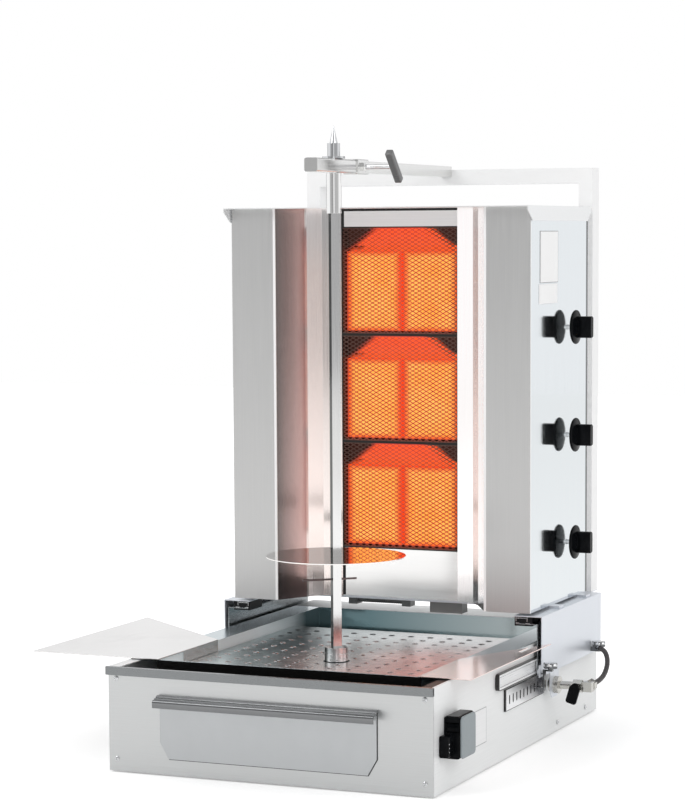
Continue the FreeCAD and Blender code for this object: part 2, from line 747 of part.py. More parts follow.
# Carriage walls, slide shoes and cross bars
wall_inner = wall_x - sheet
flange_inner = wall_x - 48
wall_outline = [
    (wall_front, wall_low), (wall_front, wall_top), (wall_rear, wall_top), (wall_rear, wall_low),
]
wall = prism([(wall_inner, y, z) for y, z in wall_outline], (sheet, 0, 0))
top_flange = block(flange_inner, wall_x, wall_front, wall_rear, wall_top - sheet, wall_top)
foot_tab = block(flange_inner, post_out, wall_rear, post_y + post_depth, wall_top - sheet, wall_top)
wall = wall.fuse([top_flange, foot_tab])
left_wall = mirrored(wall)
save("carriage_wall_left", left_wall.removeSplitter())
cock_y = wall_front + 64
cock_z = wall_low - 23
cock_start = rail_x - 2.5
lever_turn = 73.5
lever_reach = 28.0
lever_half = 9.0
stem_z = wall_low + 7
stem_radius = 3.0
tab = prism([
    (wall_inner, cock_y - 22, wall_low), (wall_inner, cock_y - 22, cock_z - 8),
    (wall_inner, cock_y - 12, cock_z - 20), (wall_inner, cock_y + 12, cock_z - 20),
    (wall_inner, cock_y + 22, cock_z - 8), (wall_inner, cock_y + 22, wall_low),
], (sheet, 0, 0))
lug = block(wall_inner, wall_x, latch_y - 10, wall_front, wall_low, wall_low + 20)
bush = rod((wall_inner - 4, latch_y, stem_z), (1, 0, 0), 6.0, 4)
wall = wall.fuse([tab, lug, bush])
wall = wall.cut(rod((wall_inner - 5, latch_y, stem_z), (1, 0, 0), stem_radius + running, 8))
wall = wall.cut(rod((wall_inner - 1, cock_y, cock_z), (1, 0, 0), 8.1, 4))
save("carriage_wall_right", wall.removeSplitter())

shoes = []
shoe_in = rail_inner - shoe_inset
shoe_out = shoe_in + shoe_width
for y in (wall_front + 1, wall_rear - shoe_length - 6):
    shoe = block(shoe_in, shoe_out, y, y + shoe_length, rail_top - sheet - shoe_lip, wall_top - sheet)
    shoe = shoe.cut(block(rail_inner - slide_play, shoe_out + 1, y - 1, y + shoe_length + 1,
                          rail_top - sheet - slide_play, rail_top + slide_play))
    shoes += [shoe, mirrored(shoe)]
save("slide_shoes", group(shoes))
bars = []
for y in (niche_back + bar_lead, wall_rear - bar_rear_gap):
    bars.append(block(-wall_x + 4, wall_x - 4, y, y + bar_depth, wall_top, tower_low))
save("cross_bars", group(bars))

# Latch: stem in its guide, plate, finger that enters the rack, and a lobed knob
finger_end = half + rack_thickness + 0.4
latch_x = wall_x + 3.3
latch_knob_x = wall_x + 15.2
latch_knob_z = wall_low + 15
latch = block(latch_x, latch_x + 3, latch_y - 4, latch_y + 4, finger_z - 4, latch_knob_z - 2)
latch_shelf = latch_knob_z - 5
latch = latch.fuse(block(latch_x, latch_knob_x + 4, latch_y - 4, latch_y + 4, latch_shelf, latch_shelf + 3))
stem_start = wall_inner - 1.8
latch = latch.fuse(rod((stem_start, latch_y, stem_z), (1, 0, 0), stem_radius, latch_x + 1 - stem_start))
latch = latch.fuse(rod((finger_end, latch_y, finger_z), (1, 0, 0), 2.0, latch_x + 1 - finger_end))
latch = latch.fuse(rod((latch_knob_x, latch_y, latch_knob_z - 3), (0, 0, 1), 4, 3))
latch_knob = lobed_knob(latch_knob_x, latch_y, latch_knob_z)
save("notch_latch", group([latch.removeSplitter(), latch_knob]))

# Tower sheets
panel_inner = tower_half - sheet
side_panel = block(panel_inner, tower_half, tower_front, tower_rear, tower_low, tower_high)
right_panel = side_panel.copy()
for z in knob_levels:
    right_panel = right_panel.cut(rod((panel_inner - 1, knob_y, z), (1, 0, 0), spindle_radius + 0.6, 4))
front_sheet = block(niche[0][0], panel_inner, tower_front, tower_front + sheet, tower_low, tower_high)
save("tower_shell_left", mirrored(side_panel.fuse(front_sheet).removeSplitter()))
plate_out = tower_half + plate_thickness
blank_plates = []
for start, end, drop, height in ((46, 136, 39, 84), (41, 133, 125, 32)):
    low = tower_high - drop - height
    blank_plates.append(
        block(tower_half, plate_out, tower_front + start, tower_front + end, low, low + height)
    )
save("tower_shell_right", right_panel.fuse([front_sheet] + blank_plates).removeSplitter())
mirror_sheet = 1.2
back_path = [(x + mirror_sheet, y + 0.4 * mirror_sheet) for x, y in niche[:3]]
back_path.append((niche[3][0], niche[3][1] + mirror_sheet))
start_y = tower_front + sheet
reflector_points = [(niche[0][0], start_y)] + niche[1:] + list(reversed(back_path[1:]))
reflector_points.append((niche[0][0] + mirror_sheet, start_y))
reflector = prism([(x, y, tower_low) for x, y in reflector_points], (0, 0, tower_high - tower_low))
save("reflectors", both_sides(reflector))
back = block(-panel_inner, panel_inner, tower_rear - sheet, tower_rear, tower_low, tower_high)
vent_rows = 4
for side in (-1, 1):
    for r in range(vent_rows):
        z = tower_high - 80 - r * 16
        x = side * (tower_half - 115)
        back = back.cut(block(x - 50, x + 50, tower_rear - 3, tower_rear + 1, z, z + 6))
frame_y = niche[3][1] + mirror_sheet
floor_points = [
    (panel_inner, start_y), (niche[0][0] + 2, start_y), (niche[1][0] + 2, niche[1][1] + 1),
    (niche[2][0] + 1.6, niche[2][1] + 1.6), (niche[3][0] + 0.5, frame_y + sheet),
]
floor_plan = floor_points + [(-x, y) for x, y in reversed(floor_points)]
floor_plan += [(-panel_inner, tower_rear - sheet), (panel_inner, tower_rear - sheet)]
bottom = prism([(x, y, tower_low) for x, y in floor_plan], (0, 0, sheet))
save("tower_back", back.fuse(bottom).removeSplitter())
cover_half = tower_half + cover_side
skirt_x = cover_half - sheet
skirt_low = tower_high - cover_skirt
cover = block(-cover_half, cover_half, cover_front, cover_rear, tower_high, tower_high + sheet)
skirt = prism([
    (skirt_x, cover_front, tower_high + sheet), (skirt_x, cover_rear, tower_high + sheet),
    (skirt_x, cover_rear, tower_high - skirt_tail), (skirt_x, cover_rear - skirt_run, skirt_low),
    (skirt_x, cover_front + skirt_lead, skirt_low), (skirt_x, cover_front, tower_high - skirt_tip),
], (sheet, 0, 0))
save("top_cover", cover.fuse([skirt, mirrored(skirt)]).removeSplitter())

# Burner frame with its windows, three burners with two ceramic plates each, and their guards
window_half = niche[3][0] - 1.5
frame_half = niche[3][0]
burner_frame = block(-frame_half, frame_half, frame_y, frame_y + sheet, tower_low + sheet, tower_high)
housings = []
ceramics = []
guards = []
housing_y = frame_y + sheet
guard_rows = 11
guard_columns = 9
for k in range(cell_count):
    low = cell_low + k * cell_pitch + divider / 2
    high = low + cell_pitch - divider
    burner_frame = burner_frame.cut(block(-window_half, window_half, frame_y - 1, frame_y + 3, low, high))
    box = block(-window_half - 1, window_half + 1, housing_y, housing_y + housing_depth, low - 1, high + 1)
    mouth = block(-window_half, window_half, housing_y - 1, housing_y + 26, low, high)
    box = box.cut(mouth)
    throat = block(
        -window_half + 8, window_half - 8, housing_y + 25, housing_y + housing_depth - 2, low + 8, high - 30,
    )
    housings.append(box.cut(throat))
    for sx in (-1, 1):
        a, b = sorted((sx * tile_gap, sx * (window_half - 3)))
        ceramics.append(block(a, b, housing_y + 12, housing_y + 26, low + tile_below, high - tile_above))
    net_half = window_half - 0.5
    cell_w = 2 * net_half / guard_columns
    cell_h = (high - low - 1) / guard_rows
    border = Part.makePolygon([
        V(-net_half, 0, low + 0.5), V(net_half, 0, low + 0.5), V(net_half, 0, high - 0.5),
        V(-net_half, 0, high - 0.5), V(-net_half, 0, low + 0.5),
    ])
    wires = [Part.Wire(border)]
    for i in range(guard_columns):
        for j in range(guard_rows):
            cx = -net_half + (i + 0.5) * cell_w
            cz = low + 0.5 + (j + 0.5) * cell_h
            w = cell_w / 2 - 1.2
            h = cell_h / 2 - 1.2
            diamond = [V(cx - w, 0, cz), V(cx, 0, cz - h), V(cx + w, 0, cz), V(cx, 0, cz + h)]
            wires.append(Part.Wire(Part.makePolygon(diamond + diamond[:1])))
    net = Part.Face(wires).extrude(V(0, 1.0, 0))
    net.translate(V(0, frame_y + 0.2, 0))
    guards.append(net)
save("burner_frame", burner_frame)
save("burner_housings", group(housings))
save("ceramic_plates", group(ceramics))
save("burner_guards", group(guards))

# Gas side: manifold, taps, tap pipes, spindles and knobs
tap_x = tower_half - 38.7
manifold_x = tap_x - 36
manifold = rod((manifold_x, knob_y, knob_levels[0] - 60), (0, 0, 1), 8, knob_levels[-1] - knob_levels[0] + 90)
for z in knob_levels:
    manifold = manifold.fuse(rod((manifold_x, knob_y, z), (1, 0, 0), 6, tap_x - manifold_x))
taps = []
pipes = []
spindle_back = tap_x + 22
for z in knob_levels:
    tap = rod((tap_x, knob_y, z), (1, 0, 0), 12, 30)
    tap = tap.fuse(rod((tap_x + 12, knob_y + 10, z), (0, 1, 0), 5, 18))
    tap = tap.cut(rod((spindle_back - 6, knob_y, z), (1, 0, 0), spindle_radius + running, 20))
    taps.append(tap.removeSplitter())
    pipe = rod((tap_x + 12, knob_y + 28, z), (0, 1, 0), 4, 30)
    pipe = pipe.fuse(Part.makeSphere(4, V(tap_x + 12, knob_y + 58, z)))
    pipe = pipe.fuse(rod((0, knob_y + 58, z), (1, 0, 0), 4, tap_x + 12))
    pipe = pipe.fuse(Part.makeSphere(4, V(0, knob_y + 58, z)))
    housing_back = housing_y + housing_depth
    pipe = pipe.fuse(rod((0, housing_back, z), (0, 1, 0), 4, knob_y + 58 - housing_back))
    pipes.append(pipe.removeSplitter())
save("gas_taps", group(taps))
save("gas_manifold", group([manifold.removeSplitter()] + pipes))

knob_x = tower_half + knob_gap
for k, z in enumerate(knob_levels):
    spindle = rod((spindle_back, knob_y, z), (1, 0, 0), spindle_radius, knob_x + 12 - spindle_back)
    save("knob_spindle_%d" % (k + 1), spindle)
    skirt = Part.makeCone(knob_radius, knob_radius - 3, 4, V(knob_x, knob_y, z), V(1, 0, 0))
    hub_part = rod((knob_x, knob_y, z), (1, 0, 0), 13, 9)
    grip = block(knob_x + 3, knob_x + 31, knob_y - 7, knob_y + 7, z - 18, z + 18)
    grip = grip.makeFillet(3, [e for e in grip.Edges if abs(e.tangentAt(0).x) > 0.9])
    knob = skirt.fuse([hub_part, grip])
    knob = knob.cut(rod((knob_x - 1, knob_y, z), (1, 0, 0), spindle_radius, 13))
    save("gas_knob_%d" % (k + 1), knob.removeSplitter())

# Gas cock in the right wall, its lever, and the braided hose up to the wall's rear end
inlet = rod((cock_start, cock_y, cock_z), (1, 0, 0), 8, wall_x + 3 - cock_start)
inlet = inlet.fuse(rod((cock_start + 2, cock_y, cock_z), (1, 0, 0), 12, wall_inner - cock_start - 2))
collar = rod((wall_x, cock_y, cock_z), (1, 0, 0), 14, 9)
for k in range(3):
    ring = rod((wall_x + 2.0 + 2.4 * k, cock_y, cock_z), (1, 0, 0), 15, 1.1)
    collar = collar.cut(ring.cut(rod((wall_x, cock_y, cock_z), (1, 0, 0), 13, 12)))
body_x = wall_x + 32.7
elbow_x = body_x + 25
outlet_y = cock_y + 20.0
stem_x = body_x + 8
outer = rod((wall_x + 6, cock_y, cock_z), (1, 0, 0), 6.5, elbow_x - wall_x - 6)
outer = outer.fuse(hexagon_bar((body_x, cock_y, cock_z), 10.5, 16, "x"))
outer = outer.fuse(block(elbow_x - 8, elbow_x + 8, cock_y - 8, outlet_y - 12, cock_z - 8, cock_z + 8))
outer = outer.fuse(hexagon_bar((elbow_x, outlet_y - 13, cock_z), 10.5, 13, "y"))
outer = outer.fuse(rod((stem_x, cock_y - 6, cock_z), (0, -1, 0), 5, 8))
save("gas_cock", inlet.fuse([collar, outer]).removeSplitter())
lever_y = cock_y - 14.4
lever = rod((stem_x, lever_y, cock_z), (0, -1, 0), 7, 4)
arm = block(stem_x - lever_reach, stem_x, lever_y - 4, lever_y, cock_z - lever_half, cock_z + lever_half)
tip = [e for e in arm.Edges if abs(e.tangentAt(0).y) > 0.9 and e.CenterOfMass.x < stem_x - 5]
arm = arm.makeFillet(4, tip)
lever = turned(lever.fuse(arm), (stem_x, cock_y, cock_z), (0, 1, 0), -lever_turn)
save("cock_lever", lever.removeSplitter())

fit_x = wall_x + fit_out
fit_y = wall_rear - fit_gap
fit_z = wall_low + fit_rise
hose_start = (elbow_x - 1, outlet_y, cock_z)
hose_end = (fit_x + 7.6, fit_y - 14, fit_z)


def hose_point(t):
    run_x, run_y, run_z = [e - a for a, e in zip(hose_start, hose_end)]
    climb = max(0.0, (t - hose_level) / (1 - hose_level))
    return (
        hose_start[0] + hose_bulge * math.sin(math.pi * t) + run_x * t ** hose_bend,
        hose_start[1] + run_y * t * (1 + hose_crowding * (1 - t)),
        hose_start[2] + run_z * (1 - math.cos(math.pi * climb)) / 2,
    )


hose_points = [hose_point(k / hose_runs) for k in range(hose_runs + 1)]


def hose_path(points):
    corners = [V(*p) for p in points]
    edges = []
    here = corners[0]
    for i in range(1, len(corners) - 1):
        before = corners[i].sub(corners[i - 1])
        after = corners[i + 1].sub(corners[i])
        turn = before.getAngle(after)
        cut = 0.45 * min(before.Length, after.Length)
        radius = cut / math.tan(turn / 2)
        print("hose arc", i, "radius", round(radius, 1))
        start = corners[i] - before.normalize() * cut
        stop = corners[i] + after.normalize() * cut
        middle = before.normalize() - after.normalize()
        bisector = (after.normalize() - before.normalize()).normalize()
        depth = radius / math.cos(turn / 2) - radius
        if (start - here).Length > 1e-6:
            edges.append(Part.makeLine(here, start))
        edges.append(Part.Arc(start, corners[i] + bisector * depth, stop).toShape())
        here = stop
    edges.append(Part.makeLine(here, corners[-1]))
    return Part.Wire(edges)


path = hose_path(hose_points)
lead = V(*hose_points[1]) - V(*hose_points[0])
section = Part.Wire([Part.makeCircle(hose_radius, V(*hose_points[0]), lead)])
hose = path.makePipeShell([section], True, False)
print("hose length", round(path.Length, 1), "volume ratio",
      round(hose.Volume / (math.pi * hose_radius ** 2 * path.Length), 4))
save("gas_hose", hose)
last = V(*hose_end)
tail = last - V(*hose_points[-2])
tail.normalize()
fitting = Part.makeCylinder(hose_radius + 1.5, 12, last, tail)
fitting = fitting.fuse(rod((fit_x, fit_y, fit_z - 7), (0, 0, 1), 8, 14))
fitting = fitting.fuse(lobed_knob(fit_x, fit_y, fit_z + 1))
fitting = fitting.fuse(block(wall_x, fit_x, fit_y - 6, fit_y + 6, fit_z - 7, fit_z + 1))
save("hose_fitting", fitting.removeSplitter())

# Ribbed wiring conduit under the tower, on a steady X axis, with its end gland
conduit_y = tower_rear - conduit_gap
conduit_z = wall_top - conduit_drop
rib_count = int(conduit_length / rib_pitch)
conduit = None
for k in range(rib_count):
    x = conduit_start + k * rib_pitch
    sections = []
    for dx, r in ((0, rib_low), (rib_pitch * 0.3, rib_high), (rib_pitch * 0.7, rib_high), (rib_pitch, rib_low)):
        sections.append(Part.Wire([Part.makeCircle(r, V(x + dx, conduit_y, conduit_z), V(1, 0, 0))]))
    rib = Part.makeLoft(sections, True, True)
    conduit = rib if conduit is None else conduit.fuse(rib)
conduit = conduit.cut(rod((conduit_start - 1, conduit_y, conduit_z), (1, 0, 0), 4.0, conduit_length + 2))
gland_blocks = []
for x in (conduit_start - gland_block, conduit_start + conduit_length):
    gland_blocks.append(block(x, x + gland_block, conduit_y - 11, conduit_y + 11, conduit_z - 9, tower_low))
clip_rear = conduit_y - clip_gap
gland_blocks.append(block(clip_left, clip_right, clip_rear - clip_depth, clip_rear, conduit_z - 7, tower_low))
save("wiring_conduit", group([conduit] + gland_blocks))
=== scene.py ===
import math

import bmesh
import bpy
from mathutils import Matrix, Vector


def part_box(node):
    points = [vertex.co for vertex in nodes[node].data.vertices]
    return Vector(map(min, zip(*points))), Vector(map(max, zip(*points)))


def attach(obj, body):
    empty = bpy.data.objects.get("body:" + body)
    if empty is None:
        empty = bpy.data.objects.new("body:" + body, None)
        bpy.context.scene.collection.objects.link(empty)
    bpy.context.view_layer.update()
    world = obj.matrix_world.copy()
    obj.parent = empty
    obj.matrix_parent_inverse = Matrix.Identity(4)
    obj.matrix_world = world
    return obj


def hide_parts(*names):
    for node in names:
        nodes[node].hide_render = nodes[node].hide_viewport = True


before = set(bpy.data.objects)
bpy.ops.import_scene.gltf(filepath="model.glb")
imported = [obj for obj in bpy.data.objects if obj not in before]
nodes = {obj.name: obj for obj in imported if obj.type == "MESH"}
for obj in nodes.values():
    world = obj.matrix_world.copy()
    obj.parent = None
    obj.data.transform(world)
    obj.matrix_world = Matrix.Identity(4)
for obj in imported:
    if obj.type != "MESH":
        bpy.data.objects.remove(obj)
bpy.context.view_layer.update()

scene = bpy.context.scene

# Camera at the photograph's viewing point; lengths in the picture are in its points
yaw = math.radians(23.4326)
pitch = math.radians(-5.6762)
roll = math.radians(-0.3237)
focal_length = 2609.2407
picture_width, picture_height = 685, 800
centre_x, centre_y = 336.5845, 495.2786
view_distance = 4.264777
sensor_width = 36.0
forward = Vector((-math.sin(yaw) * math.cos(pitch), math.cos(yaw) * math.cos(pitch), math.sin(pitch)))
level = Vector((math.cos(yaw), math.sin(yaw), 0))
upward = level.cross(forward)
side = level * math.cos(roll) + upward * math.sin(roll)
top = upward * math.cos(roll) - level * math.sin(roll)
target = Vector((0, 0, 0.4039617)) + level * -0.0479665
camera_data = bpy.data.cameras.new("camera")
camera = bpy.data.objects.new("camera", camera_data)
scene.collection.objects.link(camera)
rotation = Matrix((side, top, -forward)).transposed()
camera.matrix_world = Matrix.Translation(target - forward * view_distance) @ rotation.to_4x4()
camera_data.sensor_width = sensor_width
camera_data.lens = focal_length / picture_height * sensor_width
camera_data.shift_x = (picture_width / 2 - centre_x) / picture_height
camera_data.shift_y = (centre_y - picture_height / 2) / picture_height
camera_data.clip_end = 50
scene.camera = camera


# Hose route: from the gas cock, out and up to the fitting on the carriage wall
hose_start = Vector((0.342, 0.138, 0.090))
hose_end = Vector((0.306, 0.301, 0.124))
hose_runs = 10
hose_bulge = 0.0043
hose_bend = 2.2
hose_crowding = 0.356
hose_level = 0.08
hose_core_radius = 0.0036


def hose_point(t):
    run = hose_end - hose_start
    climb = max(0.0, (t - hose_level) / (1 - hose_level))
    return (
        hose_start.x + hose_bulge * math.sin(math.pi * t) + run.x * t ** hose_bend,
        hose_start.y + run.y * t * (1 + hose_crowding * (1 - t)),
        hose_start.z + run.z * (1 - math.cos(math.pi * climb)) / 2,
    )


hose_curve = bpy.data.curves.new("gas_hose_tube", "CURVE")
hose_curve.dimensions = "3D"
hose_curve.resolution_u = 24
hose_spline = hose_curve.splines.new("NURBS")
hose_spline.points.add(hose_runs)
for k, point in enumerate(hose_spline.points):
    point.co = (*hose_point(k / hose_runs), 1)
hose_spline.order_u = 3
hose_spline.use_endpoint_u = True
hose = bpy.data.objects.new("gas_hose_tube", hose_curve)
scene.collection.objects.link(hose)
bpy.context.view_layer.update()
hose_line = [v.co.copy() for v in bpy.data.meshes.new_from_object(hose).vertices]
hose_curve.bevel_depth = hose_core_radius
hose_curve.bevel_resolution = 5


# Node helpers for materials
class Build:
    def __init__(self, name):
        self.mat = bpy.data.materials.new(name)
        self.mat.use_nodes = True
        self.tree = self.mat.node_tree
        self.tree.nodes.clear()
        self.out = self.add("ShaderNodeOutputMaterial")
        self.shader = self.add("ShaderNodeBsdfPrincipled")
        self.link(self.shader.outputs["BSDF"], self.out.inputs["Surface"])
        self.place = self.add("ShaderNodeTexCoord").outputs["Object"]

    def add(self, kind, **settings):
        node = self.tree.nodes.new(kind)
        for key, value in settings.items():
            setattr(node, key, value)
        return node

    def link(self, a, b):
        self.tree.links.new(a, b)

    def put(self, socket, value):
        if isinstance(value, (int, float, tuple, list)):
            socket.default_value = value
        else:
            self.link(value, socket)

    def noise(self, scale, size=1.0, detail=4.0, rough=0.55):
        mapping = self.add("ShaderNodeMapping")
        mapping.inputs["Scale"].default_value = scale
        self.link(self.place, mapping.inputs["Vector"])
        node = self.add("ShaderNodeTexNoise")
        node.inputs["Scale"].default_value = size
        node.inputs["Detail"].default_value = detail
        node.inputs["Roughness"].default_value = rough
        self.link(mapping.outputs["Vector"], node.inputs["Vector"])
        return node.outputs["Fac"]

    def spread(self, value, low, high, start=0.0, end=1.0):
        node = self.add("ShaderNodeMapRange")
        self.put(node.inputs["Value"], value)
        node.inputs["From Min"].default_value = start
        node.inputs["From Max"].default_value = end
        node.inputs["To Min"].default_value = low
        node.inputs["To Max"].default_value = high
        return node.outputs["Result"]

    def maths(self, kind, a, b=0.0, c=0.0):
        node = self.add("ShaderNodeMath", operation=kind)
        self.put(node.inputs[0], a)
        self.put(node.inputs[1], b)
        self.put(node.inputs[2], c)
        return node.outputs[0]

    def mix(self, factor, a, b):
        node = self.add("ShaderNodeMix", data_type="RGBA")
        self.put(node.inputs[0], factor)
        self.put(node.inputs[6], a)
        self.put(node.inputs[7], b)
        return node.outputs[2]

    def axes(self):
        node = self.add("ShaderNodeSeparateXYZ")
        self.link(self.place, node.inputs["Vector"])
        return node.outputs["X"], node.outputs["Y"], node.outputs["Z"]

    def facing(self):
        geometry = self.add("ShaderNodeNewGeometry")
        node = self.add("ShaderNodeSeparateXYZ")
        self.link(geometry.outputs["True Normal"], node.inputs["Vector"])
        return node.outputs["X"], node.outputs["Y"], node.outputs["Z"]

    def relief(self, height, depth, strength=1.0, edge=0.0006):
        bump = self.add("ShaderNodeBump")
        bump.inputs["Strength"].default_value = strength
        bump.inputs["Distance"].default_value = depth
        self.link(height, bump.inputs["Height"])
        if edge:
            bevel = self.add("ShaderNodeBevel", samples=4)
            bevel.inputs["Radius"].default_value = edge
            self.link(bevel.outputs["Normal"], bump.inputs["Normal"])
        self.link(bump.outputs["Normal"], self.shader.inputs["Normal"])


# Noise scales of brushed lines by brushing direction, and how deep the lines go
brush = {"x": (9, 900, 900), "y": (900, 9, 900), "z": (900, 900, 9)}
brush_depth = 0.00004


def shade(colour, amount):
    return (colour[0] * amount, colour[1] * amount, colour[2] * amount, 1.0)


def steel(name, colour, rough, grain, contrast=0.06, relief=0.35, edge=0.0006, metal=1.0):
    """Brushed or polished sheet steel. grain is the brushing direction, x, y, z or none."""
    b = Build(name)
    lines = b.noise(brush.get(grain, (420, 420, 420)), detail=3.0, rough=0.6)
    cloud = b.noise((7, 7, 7), detail=3.0)
    smear = b.noise((34, 34, 21), detail=5.0, rough=0.7)
    streaks = b.spread(lines, -contrast, contrast, 0.25, 0.75)
    patches = b.spread(cloud, -0.5 * contrast, 0.5 * contrast, 0.3, 0.7)
    tone = b.maths("ADD", b.maths("ADD", streaks, patches), 0.5)
    b.link(b.mix(tone, shade(colour, 0.86), shade(colour, 1.14)), b.shader.inputs["Base Color"])
    b.shader.inputs["Metallic"].default_value = metal
    fine_rough = b.spread(lines, -0.04, 0.04, 0.3, 0.7)
    broad_rough = b.spread(smear, rough - 0.02, rough + 0.04, 0.3, 0.7)
    b.link(b.maths("ADD", fine_rough, broad_rough), b.shader.inputs["Roughness"])
    if grain in brush:
        b.shader.inputs["Anisotropic"].default_value = 0.45
    b.relief(lines, brush_depth, relief, edge)
    return b.mat


def plastic(name, colour, rough, texture=0.00006, shine=0.5, edge=0.0008):
    """Moulded plastic, rubber or paint with a fine grain and a little dust."""
    b = Build(name)
    grain = b.noise((900, 900, 900), detail=3.0)
    dust = b.noise((45, 45, 45), detail=6.0, rough=0.75)
    dusty = shade((colour[0] + 0.005, colour[1] + 0.005, colour[2] + 0.006), 1.15)
    tone = b.mix(b.spread(dust, 0.0, 1.0, 0.35, 0.8), shade(colour, 1.0), dusty)
    b.link(tone, b.shader.inputs["Base Color"])
    b.link(b.spread(dust, rough - 0.03, rough + 0.08, 0.3, 0.8), b.shader.inputs["Roughness"])
    b.shader.inputs["Specular IOR Level"].default_value = shine
    b.relief(grain, texture, 0.4, edge)
    return b.mat


def dress(material, *names):
    """Give CAD nodes a material."""
    for name in names:
        mesh = nodes[name].data
        mesh.materials.clear()
        mesh.materials.append(material)


# Sheet steel finishes
front_steel = steel("base_floor_steel", (0.64, 0.64, 0.64), 0.40, "x")
side_steel = steel("base_side_steel", (0.90, 0.91, 0.91), 0.45, "y", 0.03, 0.1, metal=0.2)
lip_steel = steel("lip_steel", (0.235, 0.245, 0.25), 0.26, "x", 0.04)
drawer_steel = steel("drawer_steel", (0.53, 0.545, 0.555), 0.42, "x", 0.03, 0.15)
pull_steel = steel("pull_steel", (0.22, 0.225, 0.23), 0.16, "x", 0.03)
back_steel = steel("tower_back_steel", (0.86, 0.87, 0.88), 0.38, "z")
tub_shade_steel = steel("drawer_tub_steel", (0.06, 0.06, 0.062), 0.5, "none", 0.05)
shelf_steel = steel("shelf_steel", (0.72, 0.71, 0.705), 0.16, "y", 0.02, 0.1)
frame_steel = steel("frame_steel", (1.0, 1.0, 1.0), 0.35, "none", 0.0, 0.05, metal=0.1)
arm_steel = steel("arm_steel", (0.78, 0.78, 0.77), 0.16, "y", 0.04)
socket_steel = steel("socket_steel", (0.90, 0.90, 0.89), 0.09, "z", 0.02)
disc_steel = steel("disc_steel", (0.92, 0.90, 0.88), 0.03, "none", 0.01, 0.02, 0.0002)
wall_steel = steel("wall_steel", (0.78, 0.81, 0.86), 0.34, "y", 0.03, metal=0.6)
rail_steel = steel("rail_steel", (0.30, 0.32, 0.33), 0.26, "y", 0.05)
chrome = steel("chrome_finish", (0.66, 0.67, 0.68), 0.07, "none", 0.02, 0.05)
conduit_grey = plastic("conduit_plastic", (0.22, 0.225, 0.222), 0.3)
nickel = steel("nickel_finish", (0.58, 0.57, 0.54), 0.16, "none", 0.08, 0.15)
dark_steel = steel("dark_steel", (0.16, 0.15, 0.15), 0.34, "none", 0.1)
black_gloss = plastic("black_gloss_plastic", (0.002, 0.0025, 0.003), 0.2, 0.00001, 0.06)
black_soft = plastic("black_soft_plastic", (0.005, 0.005, 0.006), 0.42, shine=0.2)
lid_plastic = plastic("lid_plastic", (0.28, 0.315, 0.33), 0.42, shine=0.3)
rubber = plastic("rubber_foot", (0.02, 0.02, 0.02), 0.7)
motor_paint = plastic("motor_paint", (0.06, 0.07, 0.08), 0.45)

dress(front_steel, "base_floor")
dress(side_steel, "base_side_left", "base_rear_panel")
dress(lip_steel, "base_front_lip")
dress(drawer_steel, "drawer_front")
dress(back_steel, "tower_back")
# Painted shade: the drawer tub and runners are nearly black, as they lie in shade under the chute
dress(tub_shade_steel, "drawer_box", "drawer_runners")
dress(shelf_steel, "catch_shelf_left")
dress(frame_steel, "rear_frame")
dress(arm_steel, "arm_tube", "arm_sleeve", "clamp_block")
dress(socket_steel, "top_socket")
dress(disc_steel, "meat_disc")
dress(wall_steel, "carriage_wall_left", "carriage_wall_right", "cross_bars")
dress(rail_steel, "rail_sheets", "gas_manifold")
dress(chrome, "top_pin", "knob_spindle_1", "knob_spindle_2", "knob_spindle_3")
dress(nickel, "gas_cock", "gas_taps")
dress(dark_steel, "cross_pin")
dress(black_gloss, "switch_rocker", "cock_lever")
dress(black_soft, "slide_shoes")
dress(conduit_grey, "wiring_conduit")
dress(rubber, "rubber_feet")
dress(motor_paint, "gear_motor")


